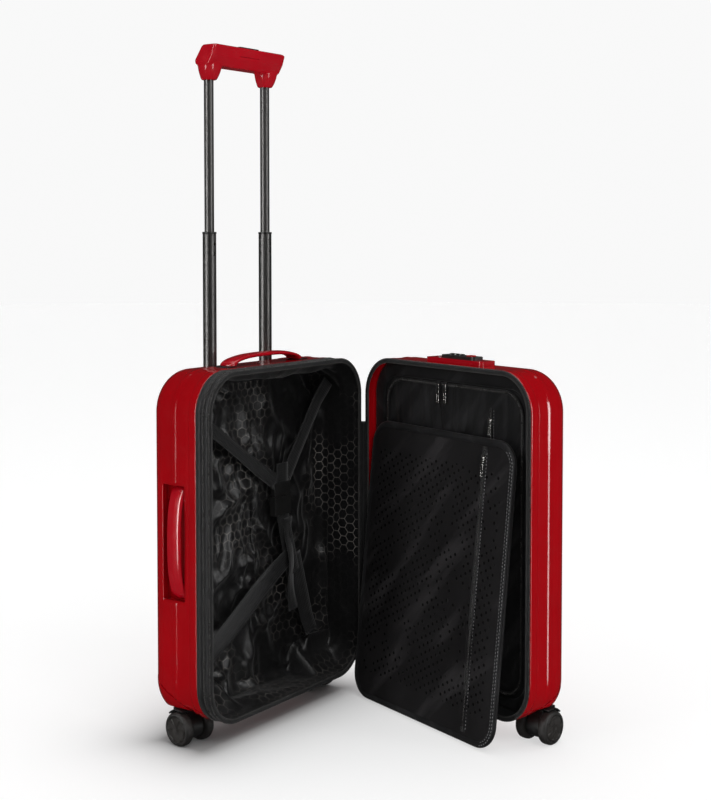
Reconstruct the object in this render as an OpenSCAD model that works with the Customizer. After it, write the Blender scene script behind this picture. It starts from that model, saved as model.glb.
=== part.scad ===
// Hard shell cabin suitcase on four double casters, standing open with its trolley handle drawn out.
// Rear half: back is +Y, opening faces -Y. The front half (lid) turns about a vertical hinge at +X.

/* [Case] */
// Outside width of both halves
case_w = 382; // [360:1:400]
// Height of the shell outline
case_h = 515; // [500:1:560]
// Height of the lowest shell edge above the floor
ground_gap = 35; // [35:1:40]
// Corner radius of the outline, seen from the front
corner_r = 61; // [50:1:70]
// Rounding between the side walls and the large panels
edge_r = 30; // [22:1:32]
// Thickness of the moulded shell
wall = 2.5; // [2:0.1:3]
// Depth of the hard part of the rear half
rear_d = 92; // [88:1:110]
// Depth of the fabric expansion band on the rear half
band_d = 26; // [20:1:30]
// Depth of the front half behind its zipper
lid_d = 82; // [80:1:95]
// Depth of each zipper ring along the rim
zip_d = 3.7; // [3:0.1:5]
// Distance from the side wall to the hinge axis
hinge_gap = 3.8; // [3.5:0.1:6]
// Angle of the lid from closed, as it stands
open_angle = 71.9; // [30:0.1:110]

/* [Trolley] */
// Distance between the two tubes
tube_gap = 136; // [120:1:150]
// Distance of the tubes behind the opening plane
tube_y = 103; // [102:0.5:104]
// Outside diameter of the lower tubes
outer_tube = 20.5; // [20:0.1:20.8]
// Outside diameter of the upper tubes
inner_tube = 14.6; // [14:0.1:15]
// Height of the tops of the lower tubes
outer_top = 748; // [740:1:760]
// Height of the lowest edge of the grip
grip_z = 979; // [970:1:1000]
// Width of the grip
grip_w = 172; // [166:1:180]

/* [Casters] */
// Wheel diameter
wheel_od = 50; // [46:1:50]
// Width of one wheel
wheel_w = 15; // [12:0.5:15]
// Distance between the middles of the two wheels
wheel_gap = 40; // [39:1:42]
// Distance from the swivel axis to the axle
trail = 12; // [8:1:12]
// Distance of the swivel axes from the side walls
swivel_in = 36; // [34:1:40]
// Distance of the rear swivel axes behind the opening plane
rear_swivel = 82; // [78:1:86]
// Distance of the front swivel axes in front of the opening plane
front_swivel = 69; // [66:1:70]

/* [Fittings] */
// Length of the top carry handle
top_handle_l = 194; // [170:1:200]
// Height of the side carry handle
side_handle_l = 165; // [150:1:170]
// Width of the padded page
page_w = 344; // [320:1:348]
// Height of the padded page
page_h = 446; // [430:1:448]
// Thickness of the padded page
page_t = 8; // [6:1:10]
// Lean of the page away from the lid
page_lean = 5.7; // [4:0.1:8]
// Width of the packing straps
strap_w = 30; // [25:1:38]

/* [Hidden] */
$fn = 64;
e = 0.01;
red = [0.62, 0.02, 0.03];
black = [0.07, 0.07, 0.08];
grey = [0.3, 0.3, 0.31];
steel = [0.75, 0.75, 0.77];
cloth = [0.1, 0.1, 0.11];
mid_z = ground_gap + case_h / 2;
top_z = ground_gap + case_h;
side_x = case_w / 2;
back_y = band_d + rear_d;
front_y = zip_d + lid_d;
hinge_x = side_x + hinge_gap;
swivel_x = side_x - swivel_in;
// The whole model is moved so that its origin is the middle of its footprint.
centre = [34.5, -132.8];
// Wheel wells: the corners are cut off along a slope, and the housings close them.
well_slope = 0.716;
well_x = swivel_x - 51;
well_run = 60;
well_roof = 3.5;
fork_top = 55.4;
well_z = 56;
block_top = 84;
pin_r = 5;
bearing_r = 11;
axle_r = 3;
axle_z = wheel_od / 2;
fork_w = wheel_gap - wheel_w - 2;
neck_r = 12;
neck_z = 44;
hub_r = 17;
// Clearance of running fits, of glued parts and of moving neighbours
fit = 0.1;
seat = 0.05;
gap = 0.3;
lining_gap = 3;
lining_d = 81;
lining_corner = corner_r - 8;
lining_edge = 20;
cloth_t = 1.2;
divider_y = 24;
divider_t = 3;
page_x = 8;
page_y = -9;
page_z = 447;
page_yaw = -2;
grip_lean = 14;
travel_button = 4;
top_handle_y = 56;
side_handle_y = 65;
side_handle_z = 302;
cup_y = [46, 92];
cup_z = [215, 389];
cup_d = 24;
lock_y = -38;
lock_w = 128;
dial_pitch = 11;
dial_r = 6.6;
dial_w = 6;
dial_z = top_z + 7.5;
slide_x = -25;
slide_l = 12;
slide_cut = [-33.5, 20];
key_x = 45;
key_r = 5;
// Ribs on the large panels, and the notch of the trolley bezel in the rear shell
rear_ribs = [-140, -35, 35, 140];
lid_ribs = [-140, -84, -28, 28, 84, 140];
rib_w = 14;
notch = [184, 86, 30];
caster_turn_rear = -7;
caster_turn_front = 189;

// ---------- placing ----------
module in_rear() translate([-centre[0], -centre[1], 0]) children();
module in_lid() in_rear() translate([hinge_x, 0, 0]) rotate([0, 0, open_angle])
    translate([-hinge_x, 0, 0]) children();
module to_back(y) translate([0, y, mid_z]) mirror([0, 1, 0]) rotate([90, 0, 0]) children();
module to_front(y) translate([0, -y, mid_z]) rotate([90, 0, 0]) children();
module both_sides() for (s = [-1, 1]) scale_x(s) children();
module scale_x(s) if (s < 0) mirror([1, 0, 0]) children(); else children();
module in_page() in_lid() translate([page_x, page_y, page_z]) rotate([page_lean, 0, page_yaw]) children();

// ---------- shared shapes ----------
// Quarter section of a tray wall: far edge rounded by f
module tray_section(r, d, f) {
    square([r - f, d]);
    square([r, d - f]);
    translate([r - f, d - f]) intersection() {
        circle(f);
        square(f);
    }
}

// Rounded tray block, its outline in X and Y, its depth along Z
module tray(w, h, r, d, f) {
    translate([-w / 2 + r, -h / 2 + r, 0]) cube([w - 2 * r, h - 2 * r, d]);
    for (q = [0:3])
        translate([(q == 0 || q == 3 ? 1 : -1) * (w / 2 - r), (q < 2 ? 1 : -1) * (h / 2 - r), 0])
            rotate([0, 0, 90 * q]) rotate_extrude(angle = 90) tray_section(r, d, f);
    for (q = [0:3])
        rotate([0, 0, 90 * q]) tray_side(q % 2 == 0 ? w : h, q % 2 == 0 ? h : w, r, d, f);
}

module tray_side(across, along, r, d, f)
    translate([across / 2 - r, along / 2 - r, 0]) rotate([90, 0, 0])
        linear_extrude(along - 2 * r) tray_section(r, d, f);

module rounded_slab(w, h, r, t) linear_extrude(t) {
    square([w - 2 * r, h], center = true);
    square([w, h - 2 * r], center = true);
    for (x = [-1, 1], y = [-1, 1]) translate([x * (w / 2 - r), y * (h / 2 - r)]) circle(r);
}

module ring(w, h, r, t, width) difference() {
    rounded_slab(w, h, r, t);
    translate([0, 0, -e]) rounded_slab(w - 2 * width, h - 2 * width, r - width, t + 2 * e);
}

// Upright bar with round ends, used for ribs and slots
module bar(w, h, t) linear_extrude(t) {
    square([w, h - w], center = true);
    for (y = [-1, 1]) translate([0, y * (h - w) / 2]) circle(w / 2);
}

// Slope of the wheel wells: height of the cut at distance y from the opening
function seam(y, swivel) = ground_gap + well_slope * (y - swivel + well_run);

// Prism with its section in (depth, height), from x0 outwards; depth is counted from the opening
module well_prism(x0, x1, pts) translate([x0, 0, 0]) rotate([90, 0, 90]) linear_extrude(x1 - x0) polygon(pts);

module below_seam(swivel, lift, x0) well_prism(x0, side_x + 20, [
    [swivel - well_run - 20, -20], [swivel + 80, -20],
    [swivel + 80, seam(swivel + 80, swivel) + lift],
    [swivel - well_run - 20, seam(swivel - well_run - 20, swivel) + lift]]);

// Housing of one wheel well on the +X side, for a half whose shell starts at y0 and ends at y1
module housing(swivel, y0, d) {
    y1 = y0 + d;
    flat = swivel - well_run + (well_z - ground_gap) / well_slope;
    difference() {
        union() {
            intersection() {
                to_back(y0) tray(case_w, case_h, corner_r, d, edge_r);
                union() {
                    well_prism(well_x, side_x + 1, [
                        [flat, well_z], [swivel + 16, well_z], [y1 + 2, well_z + 10],
                        [y1 + 2, seam(y1 + 2, swivel)]]);
                    well_prism(well_x, well_x + 3, [
                        [swivel - well_run + 4, ground_gap], [y1 + 2, ground_gap],
                        [y1 + 2, seam(y1 + 2, swivel)],
                        [swivel - well_run + 4, seam(swivel - well_run + 4, swivel)]]);
                }
            }
            intersection() {
                to_back(y0 - e) tray(case_w - 2 * wall - 0.2, case_h - 2 * wall - 0.2, corner_r - wall,
                    d - wall, edge_r - wall);
                union() {
                    well_prism(well_x, side_x, [
                        [swivel - well_run + 4, seam(swivel - well_run + 4, swivel) - e],
                        [y1, seam(y1, swivel) - e], [y1, seam(y1, swivel) + well_roof],
                        [swivel - well_run + 4, seam(swivel - well_run + 4, swivel) + well_roof]]);
                    translate([swivel_x - 24, swivel - 16, well_z + 4]) cube([48, 32, block_top - well_z - 4]);
                }
            }
        }
        translate([swivel_x, swivel, well_z - 1]) cylinder(h = block_top - well_z - 3, r = pin_r + seat);
        translate([swivel_x, swivel, well_z - 1]) cylinder(h = 5, r = bearing_r + seat);
        for (s = [-1, 1]) translate([swivel_x + s * 18, swivel, block_top - 10]) cylinder(h = 11, r = 2 + seat);
    }
}

module swivel_pin(swivel) translate([swivel_x, swivel, 0]) {
    translate([0, 0, 41]) cylinder(h = block_top - 4.2 - 41, r = pin_r);
    translate([0, 0, 38]) cylinder(h = 3 + e, r = 7);
}

module bearing(swivel) translate([swivel_x, swivel, well_z + 0.2]) difference() {
    cylinder(h = 3.7, r = bearing_r);
    translate([0, 0, -1]) cylinder(h = 6, r = pin_r + seat);
}

module well_screws(swivel) for (s = [-1, 1]) translate([swivel_x + s * 18, swivel, 0]) {
    translate([0, 0, block_top - 9.8]) cylinder(h = 10, r = 2);
    translate([0, 0, block_top + 0.1]) cylinder(h = 2.4, r = 4);
}

// Fork of a caster, its swivel axis on the origin and its axle towards -Y
module fork() {
    difference() {
        union() {
            translate([-fork_w / 2, 0, 0]) rotate([90, 0, 90]) linear_extrude(fork_w) {
                translate([-trail, axle_z]) circle(hub_r);
                polygon([[-trail - hub_r + 1, axle_z + 4], [-10, 50], [11, 50], [-trail + hub_r, axle_z]]);
            }
            translate([0, 0, neck_z]) cylinder(h = fork_top - neck_z, r = neck_r);
            translate([-wheel_gap / 2 - wheel_w / 2 + 0.5, -trail, axle_z]) rotate([0, 90, 0])
                rotate([0, 0, 128]) rotate_extrude(angle = 62) translate([wheel_od / 2 + 1.4, 0])
                    square([2, wheel_gap + wheel_w - 1]);
        }
        translate([0, 0, 37.6]) cylinder(h = 3.8, r = 7 + 0.4);
        translate([0, 0, 37.6]) cylinder(h = 30, r = pin_r + fit);
        translate([-fork_w, -trail, axle_z]) rotate([0, 90, 0]) cylinder(h = 2 * fork_w, r = axle_r + 0.02);
    }
}

module axle() translate([-wheel_gap / 2 - wheel_w / 2 + 2.5, -trail, axle_z]) rotate([0, 90, 0])
    cylinder(h = wheel_gap + wheel_w - 5, r = axle_r);

// One wheel on its axle; side is -1 or 1 along X
module wheel(side) translate([side * wheel_gap / 2, -trail, axle_z]) rotate([0, side * 90, 0])
    translate([0, 0, -wheel_w / 2]) rotate_extrude($fn = 96) difference() {
        polygon([
            [0, wheel_w - 1.5], [16, wheel_w - 1.5], [17, wheel_w - 0.6], [18, wheel_w],
            [21.5, wheel_w], [wheel_od / 2 - 0.6, wheel_w - 2.2], [wheel_od / 2, wheel_w - 4.5],
            [wheel_od / 2, 3.5], [wheel_od / 2 - 1, 1], [21.5, 0], [8, 0], [axle_r + fit, 0],
            [axle_r + fit, wheel_w - 2.3], [0, wheel_w - 2.3]]);
        translate([19, -e]) square([1.2, 1]);
    }

// Arch with flat feet, len long, rise high and t thick, in X and Z
module arch(len, rise, t, depth, power) {
    n = 24;
    function z(u, h) = h * pow(1 - pow(abs(u), power), 1 / 2);
    translate([0, depth / 2, 0]) rotate([90, 0, 0]) linear_extrude(depth) polygon(concat(
        [for (i = [0:n]) let (u = 2 * i / n - 1) [u * len / 2, z(u, rise)]],
        [for (i = [0:n]) let (u = 1 - 2 * i / n) [u * (len / 2 - 2 * t), z(u, rise - t)]]));
}

module band(p, q, w) {
    d = [q[0] - p[0], q[1] - p[1]];
    l = norm(d);
    n = [-d[1], d[0]] * w / 2 / l;
    polygon([p + n, p - n, q - n, q + n]);
}

// Zipper slider facing +Y, with the post and head that its pull turns on
slider_post = 1.3;
module slider() {
    translate([-4, -1.3, -6]) cube([8, 1.8, 12]);
    rotate([-90, 0, 0]) cylinder(h = 3.2, r = slider_post);
    translate([0, 2.5, 0]) rotate([-90, 0, 0]) cylinder(h = 0.8, r = 2.2);
}

// Zipper pull hanging along -Z from the slider's post
pull_l = 32;
module pull() translate([0, 2.2, 0]) rotate([90, 0, 0]) difference() {
    union() {
        translate([0, 2.8 - pull_l / 2, 0]) bar(5.6, pull_l, 1.4);
        cylinder(h = 1.4, r = 3.4);
    }
    translate([0, 0, -1]) cylinder(h = 4, r = slider_post + fit);
    translate([0, -17, -1]) bar(2.4, 18, 4);
}

module helix(r, wire, turns, height) {
    n = 14;
    k = 6;
    m = n * turns;
    points = [for (i = [0:m], j = [0:k - 1]) let (a = 360 * i / n, b = 360 * j / k)
        [(r + wire * cos(b)) * cos(a), (r + wire * cos(b)) * sin(a), height * i / m + wire * sin(b)]];
    sides = [for (i = [0:m - 1], j = [0:k - 1])
        [i * k + j, i * k + (j + 1) % k, (i + 1) * k + (j + 1) % k, (i + 1) * k + j]];
    polyhedron(points, concat(sides, [[for (j = [0:k - 1]) k - 1 - j], [for (j = [0:k - 1]) m * k + j]]));
}

// ---------- rear half ----------
module shell(y0, d, swivel) difference() {
    union() {
        to_back(y0) tray(case_w - 1, case_h - 1, corner_r, d, edge_r);
        to_back(y0) rounded_slab(case_w, case_h, corner_r + 0.5, 14);
    }
    to_back(y0 - e) tray(case_w - 2 * wall, case_h - 2 * wall, corner_r - wall, d - wall, edge_r - wall);
    both_sides() below_seam(swivel, 0, well_x);
}

module rear_shell() color(red) in_rear() difference() {
    union() {
        shell(band_d, rear_d, rear_swivel);
        for (x = rear_ribs) translate([x, back_y - 0.5, mid_z + 15]) rotate([-90, 0, 0]) bar(rib_w, 300, 2);
    }
    translate([-notch[0] / 2, notch[1], top_z - notch[2]]) cube([notch[0], 40, notch[2] + 10]);
    translate([-side_x - 5, cup_y[0] + 3, cup_z[0] + 3])
        cube([20, cup_y[1] - cup_y[0] - 6, cup_z[1] - cup_z[0] - 6]);
}

module expansion_band() color(cloth) in_rear() to_back(zip_d + seat + gap)
    ring(case_w - 2, case_h - 2, corner_r - 0.5, band_d - zip_d - 2 * seat - gap, 2.5);

module rear_zipper() color(black) in_rear() to_back(gap) ring(case_w - 1, case_h - 1, corner_r, zip_d, 5);

module lining_block(t) difference() {
    to_back(zip_d + gap) tray(case_w - 2 * wall - 2 * lining_gap - 2 * t,
        case_h - 2 * wall - 2 * lining_gap - 2 * t, lining_corner - t,
        lining_d - t, lining_edge - t);
    both_sides() below_seam(rear_swivel, well_roof + 1 + t, well_x - 4 - t);
    both_sides() translate([swivel_x - 28 - t, rear_swivel - 20 - t, 0])
        cube([80, 60, block_top + 5 + t]);
    translate([-side_x, cup_y[0] - 4 - t, cup_z[0] - 4 - t])
        cube([cup_d + 4 + t, cup_y[1] - cup_y[0] + 8 + 2 * t, cup_z[1] - cup_z[0] + 8 + 2 * t]);
}
module rear_lining() color(cloth) in_rear() difference() {
    lining_block(0);
    lining_block(cloth_t);
    translate([-side_x, 0, 0]) cube([case_w, zip_d + 0.8, 600]);
}

module trolley_bezel() color(red) in_rear() difference() {
    intersection() {
        to_back(band_d) tray(case_w - 1.4, case_h - 1.4, corner_r, rear_d - 0.3, edge_r);
        translate([-notch[0] / 2 + 0.2, notch[1] + 0.2, top_z - notch[2] + 0.2]) cube([notch[0] - 0.4, 40, 23]);
    }
    for (s = [-1, 1]) translate([s * tube_gap / 2, tube_y, top_z - notch[2] - 1])
        cylinder(h = 40, r = outer_tube / 2 + 0.3);
}

module tube_guides() color(grey) in_rear() for (s = [-1, 1]) translate([s * tube_gap / 2, tube_y, 62])
    difference() {
        cylinder(h = top_z - 30.2 - 62, r = outer_tube / 2 + 1.9);
        translate([0, 0, 3]) cylinder(h = 600, r = outer_tube / 2 + 0.3);
    }

module top_handle() color(red) in_rear() translate([0, top_handle_y, top_z + 1.4])
    arch(top_handle_l, 24, 7, 26, 2.6);

module top_handle_mounts() color(black) in_rear() for (s = [-1, 1])
    translate([s * (top_handle_l / 2 - 7), top_handle_y, top_z - 0.5 + seat]) difference() {
        translate([-9, -14, 0]) cube([18, 28, 1.8]);
        translate([0, 0, -1]) cylinder(h = 4, r = 2);
    }

module side_handle() color(red) in_rear() translate([-side_x + 13 - seat, side_handle_y, side_handle_z])
    rotate([0, -90, 0]) arch(side_handle_l, 20, 6, 25, 2.6);

module side_handle_cup() color(red) in_rear() difference() {
    translate([-side_x + wall + 0.2, cup_y[0], cup_z[0]])
        cube([cup_d - wall, cup_y[1] - cup_y[0], cup_z[1] - cup_z[0]]);
    translate([-side_x - 1, cup_y[0] + 2, cup_z[0] + 2])
        cube([14, cup_y[1] - cup_y[0] - 4, cup_z[1] - cup_z[0] - 4]);
    translate([-side_x - 1, cup_y[0] + 2, side_handle_z - side_handle_l / 2 + 22])
        cube([cup_d - 2, cup_y[1] - cup_y[0] - 4, side_handle_l - 44]);
}

module rear_wheel_housings() color(red) in_rear() both_sides() housing(rear_swivel, band_d, rear_d);
module rear_swivel_sets() color(steel) in_rear() both_sides() {
    swivel_pin(rear_swivel);
    bearing(rear_swivel);
}
module rear_screws() color(steel) in_rear() both_sides() well_screws(rear_swivel);

// Packing straps: each pair runs from the side walls to the buckle in the middle
strap_y = 58;
buckle = [50, 326];
upper_left = [[-178, 478], [42, 372]];
upper_right = [[172, 500], [58, 370]];
upper_middle = [[50, 384], [50, 358.4]];
lower_left = [[-172, 96], [66, 236]];
lower_right = [[120, 110], [84, 236]];
lower_middle = [[78, 214], [50, 306]];
module strap(y) translate([0, y + 1.5, 0]) rotate([90, 0, 0]) linear_extrude(1.5) children();
module strap_upper() color(cloth) in_rear() strap(strap_y) {
    for (b = [upper_left, upper_right, upper_middle]) band(b[0], b[1], strap_w);
}
module strap_lower() color(cloth) in_rear() strap(strap_y) {
    for (b = [lower_left, lower_right, lower_middle]) band(b[0], b[1], strap_w);
}
module buckle_female() color(black) in_rear() difference() {
    translate([buckle[0] - 21, strap_y - 4, buckle[1] - 20]) cube([42, 11, 30]);
    translate([buckle[0] - 17, strap_y - 1.5, buckle[1] - 8]) cube([34, 6, 20]);
    translate([buckle[0] - 16, strap_y - 0.1, buckle[1] - 21]) cube([32, 1.7, 9]);
}
module buckle_male() color(black) in_rear() difference() {
    union() {
        translate([buckle[0] - 20, strap_y - 3, buckle[1] + 10.2]) cube([40, 9, 22]);
        for (s = [-1, 1]) translate([buckle[0] + s * 12 - 3.5, strap_y - 1, buckle[1] - 6]) cube([7, 5, 17]);
    }
    translate([buckle[0] - 16, strap_y - 0.1, buckle[1] + 24]) cube([32, 1.7, 10]);
}

// ---------- trolley ----------
module at_tubes() for (s = [-1, 1]) translate([s * tube_gap / 2, tube_y, 0]) children();
outer_len = 308;
detent_z = outer_top - 30;
module outer_tubes() color(grey) in_rear() at_tubes() difference() {
    translate([0, 0, outer_top - outer_len]) cylinder(h = outer_len, r = outer_tube / 2);
    translate([0, 0, outer_top - outer_len - 1]) cylinder(h = outer_len + 2, r = outer_tube / 2 - 1.5);
    for (z = [detent_z, detent_z + 14]) translate([0, 0, z]) rotate([90, 0, 0]) cylinder(h = 20, r = 2.3);
}
module outer_collars() color(black) in_rear() at_tubes() difference() {
    union() {
        translate([0, 0, outer_top + seat]) cylinder(h = 3, r = outer_tube / 2 + 0.5);
        translate([0, 0, outer_top - 10]) cylinder(h = 11, r = outer_tube / 2 - 1.5 - seat);
    }
    translate([0, 0, outer_top - 11]) cylinder(h = 20, r = inner_tube / 2 + fit);
}
inner_low = detent_z + 4;
foot_low = detent_z - 30;
module inner_tubes() color(grey) in_rear() at_tubes() difference() {
    translate([0, 0, inner_low]) cylinder(h = grip_z + 19 - inner_low, r = inner_tube / 2);
    translate([0, 0, inner_low - 1]) cylinder(h = 400, r = inner_tube / 2 - 1.3);
}
module inner_feet() color(black) in_rear() at_tubes() difference() {
    union() {
        translate([0, 0, foot_low]) cylinder(h = inner_low - foot_low - seat, r = outer_tube / 2 - 1.5 - fit);
        translate([0, 0, foot_low]) cylinder(h = 60, r = inner_tube / 2 - 1.3 - seat);
    }
    translate([0, 0, inner_low + 12]) cylinder(h = 20, r = 2.2);
    translate([0, 0, detent_z]) rotate([90, 0, 0]) cylinder(h = 20, r = 1.6);
}
module lock_pins() color(steel) in_rear() at_tubes() translate([0, -1.5, detent_z])
    rotate([90, 0, 0]) cylinder(h = outer_tube / 2 - 1.5 - fit - 1.8, r = 1.5);

// Grip: two lugs around the tubes and a bar that leans towards the opening
grip_bar_z = grip_z + 21;
grip_top = grip_z + 52;
module grip_section(low) {
    polygon([
        [tube_y - 18, low + 2], [tube_y - 16, low], [tube_y + 11, low], [tube_y + 13, low + 3],
        [tube_y + 14, grip_bar_z], [tube_y + 14 - grip_lean, grip_top - 2], [tube_y + 11 - grip_lean, grip_top],
        [tube_y - 15 - grip_lean, grip_top], [tube_y - 18 - grip_lean, grip_top - 3]]);
}
module grip_lug() translate([-14, 0, 0]) rotate([90, 0, 90]) linear_extrude(28) polygon([
    [tube_y - 11, grip_z], [tube_y + 10, grip_z], [tube_y + 12, grip_bar_z - 6], [tube_y + 12, grip_bar_z + 4],
    [tube_y - 15, grip_bar_z + 4], [tube_y - 15, grip_bar_z - 6]]);
module grip() color(red) in_rear() difference() {
    union() {
        translate([-grip_w / 2, 0, 0]) rotate([90, 0, 90]) linear_extrude(grip_w) grip_section(grip_bar_z);
        for (s = [-1, 1]) translate([s * tube_gap / 2, 0, 0]) grip_lug();
    }
    at_tubes() translate([0, 0, grip_z - 1]) cylinder(h = 25, r = inner_tube / 2 + seat);
    translate([-tube_gap / 2 - 5, tube_y - 15, grip_bar_z + 1]) cube([tube_gap + 10, 21, 12]);
    translate([-23, tube_y - 25, grip_bar_z + 18]) cube([46, 14, 40]);
    translate([-9, tube_y - 15, grip_bar_z + 9]) cube([18, 4, 12]);
}
module grip_button() color(black) in_rear() {
    translate([-22.6, tube_y - 24.6, grip_bar_z + 22.3]) cube([45.2, 13.2, 10]);
    translate([-8, tube_y - 14.6, grip_bar_z + 11]) cube([16, 3.2, 12]);
    translate([-tube_gap / 2 - 4, tube_y - 14.4, grip_bar_z + 8]) cube([tube_gap + 8, 19.8, 4]);
}
module button_spring() color(steel) in_rear() translate([0, tube_y - 5, grip_bar_z + 2.2])
    helix(4, 0.6, 4, 4.8);
module release_rods() color(steel) in_rear() at_tubes()
    translate([0, 0, inner_low + 22]) cylinder(h = grip_bar_z + 8 - seat - inner_low - 22, r = 1.5);

// ---------- lid ----------
module mirror_y() mirror([0, 1, 0]) children();
module front_shell() color(red) in_lid() {
    mirror_y() shell(zip_d, lid_d, front_swivel);
    for (x = lid_ribs) translate([x, -front_y + 0.5, mid_z + 12]) rotate([90, 0, 0]) bar(rib_w, 340, 2);
}
module front_zipper() color(black) in_lid() to_front(gap)
    ring(case_w - 1, case_h - 1, corner_r, zip_d - gap - seat, 5);
module divider_panel() color(cloth) in_lid() difference() {
    to_front(divider_y - divider_t)
        rounded_slab(case_w - 2 * wall - 1, case_h - 2 * wall - 1, corner_r - wall - 0.5, divider_t);
    mirror_y() both_sides() below_seam(front_swivel, well_roof + 1, well_x - 4);
}
module divider_zippers() color(black) in_lid() {
    to_front(divider_y - divider_t - 1.2) ring(case_w - 66, case_h - 62, corner_r - 22, 1.1, 6);
    translate([pocket_pull[0] - 3, -divider_y + divider_t + 0.1, 90]) cube([6, 1.1, 400]);
    for (x = divider_pull_x) translate([x, slider_y, divider_pull_z]) slider();
}
module hinge_gusset() color(cloth) {
    gusset_z = 42;
    gusset_h = 402;
    in_rear() translate([side_x + seat, 0, gusset_z]) cube([cloth_t, 14, gusset_h]);
    in_lid() translate([side_x + seat, -14, gusset_z]) cube([cloth_t, 14, gusset_h]);
    in_rear() translate([hinge_x, 0, gusset_z]) rotate([0, 0, 180]) rotate_extrude(angle = open_angle)
        translate([hinge_gap - seat - cloth_t, 0]) square([cloth_t, gusset_h]);
}
module front_wheel_housings() color(red) in_lid() mirror_y() both_sides() housing(front_swivel, zip_d, lid_d);
module front_swivel_sets() color(steel) in_lid() mirror_y() both_sides() {
    swivel_pin(front_swivel);
    bearing(front_swivel);
}
module front_screws() color(steel) in_lid() mirror_y() both_sides() well_screws(front_swivel);

// Lock: three dials, a red slide beside them and a key cylinder at the other end of the base
module lock_base() color(red) in_lid() difference() {
    translate([0, lock_y, top_z - 0.5 + seat]) rounded_slab(lock_w, 32, 6, 7);
    for (i = [0:2]) dial_slot(i);
    translate([slide_cut[0], lock_y - 7, top_z + 3]) cube([slide_cut[1], 14, 5]);
    translate([key_x, lock_y, top_z + 1]) cylinder(h = 10, r = key_r + fit);
}
module at_dial(i) translate([18 - dial_pitch * i, lock_y, dial_z]) rotate([0, 90, 0]) children();
module dial_slot(i) at_dial(i) translate([0, 0, -dial_w / 2 - 0.4])
    cylinder(h = dial_w + 0.8, r = dial_r + 0.5);
module lock_body() color(black) in_lid() difference() {
    translate([-4, lock_y, top_z + 6.5 + 2 * seat]) rounded_slab(76, 22, 5, 5);
    for (i = [0:2]) dial_slot(i);
    translate([slide_cut[0], lock_y - 6, top_z + 5]) cube([slide_cut[1], 12, 10]);
}
module dial(i) color(black) in_lid() at_dial(i) translate([0, 0, -dial_w / 2]) cylinder(h = dial_w, r = dial_r);
module lock_dial_1() dial(0);
module lock_dial_2() dial(1);
module lock_dial_3() dial(2);
module lock_button() color(red) in_lid()
    translate([slide_x - slide_l / 2, lock_y - 5.5, top_z + 3.3]) cube([slide_l, 11, 10]);
module key_cylinder() color(steel) in_lid() translate([key_x, lock_y, top_z + 1.3]) difference() {
    cylinder(h = 6, r = key_r);
    translate([-0.6, -3, 4]) cube([1.2, 6, 3]);
}

// Sliders and pulls of the lid's zippers
slider_y = -divider_y + divider_t + 2.9;
divider_pull_x = [12, 28];
divider_pull_z = top_z - 36;
pocket_pull = [-89, 470];
module divider_pull(i) color(steel) in_lid() translate([divider_pull_x[i], slider_y, divider_pull_z]) pull();
module divider_pull_a() divider_pull(0);
module divider_pull_b() divider_pull(1);
module pocket_slider() color(black) in_lid() translate([pocket_pull[0], slider_y, pocket_pull[1]]) slider();
module pocket_pull() color(steel) in_lid() translate([pocket_pull[0], slider_y, pocket_pull[1]]) pull();

module page() color(cloth) in_page() translate([0, page_t / 2, -page_h / 2]) rotate([90, 0, 0])
    rounded_slab(page_w, page_h, 38, page_t);
page_zip_x = -page_w / 2 + 66;
module at_page_slider() in_page() translate([page_zip_x, page_t / 2 + 1.5, -30]) children();
module page_slider() color(black) at_page_slider() slider();
module page_pull() color(steel) at_page_slider() pull();

// ---------- casters ----------
module rear_corner(s) in_rear() translate([s * swivel_x, rear_swivel, 0])
    rotate([0, 0, caster_turn_rear]) children();
module front_corner(s) in_lid() translate([s * swivel_x, -front_swivel, 0])
    rotate([0, 0, caster_turn_front]) children();
module caster() {
    color(black) fork();
    color(steel) axle();
}
module caster_rear_left() rear_corner(-1) caster();
module caster_rear_right() rear_corner(1) caster();
module caster_front_left() front_corner(-1) caster();
module caster_front_right() front_corner(1) caster();
module wheel_rear_left_out() color(black) rear_corner(-1) wheel(-1);
module wheel_rear_left_in() color(black) rear_corner(-1) wheel(1);
module wheel_rear_right_out() color(black) rear_corner(1) wheel(1);
module wheel_rear_right_in() color(black) rear_corner(1) wheel(-1);
module wheel_front_left_out() color(black) front_corner(-1) wheel(1);
module wheel_front_left_in() color(black) front_corner(-1) wheel(-1);
module wheel_front_right_out() color(black) front_corner(1) wheel(-1);
module wheel_front_right_in() color(black) front_corner(1) wheel(1);

rear_shell();
expansion_band();
rear_zipper();
rear_lining();
trolley_bezel();
tube_guides();
top_handle();
top_handle_mounts();
side_handle();
side_handle_cup();
rear_wheel_housings();
rear_swivel_sets();
rear_screws();
strap_upper();
strap_lower();
buckle_female();
buckle_male();
outer_tubes();
outer_collars();
inner_tubes();
inner_feet();
grip();
grip_button();
button_spring();
release_rods();
lock_pins();
front_shell();
front_zipper();
divider_panel();
divider_zippers();
hinge_gusset();
front_wheel_housings();
front_swivel_sets();
front_screws();
lock_base();
lock_body();
lock_dial_1();
lock_dial_2();
lock_dial_3();
lock_button();
key_cylinder();
divider_pull_a();
divider_pull_b();
pocket_slider();
pocket_pull();
page();
page_slider();
page_pull();
caster_rear_left();
wheel_rear_left_out();
wheel_rear_left_in();
caster_rear_right();
wheel_rear_right_out();
wheel_rear_right_in();
caster_front_left();
wheel_front_left_out();
wheel_front_left_in();
caster_front_right();
wheel_front_right_out();
wheel_front_right_in();
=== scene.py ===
"""Looks of an open hard shell cabin suitcase: the fixed CAD frame, dressed with cloth, shells and fittings.

Every length is in metres. "Case" coordinates have x = 0 in the middle of the rear half, y = 0 at the
opening plane with the back at +y, and z = 0 on the floor. REAR, LID and PAGE place them in the frame.
"""
import math
from contextlib import contextmanager

import bmesh
import bpy
import numpy as np
from mathutils import Matrix, Vector, noise


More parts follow.
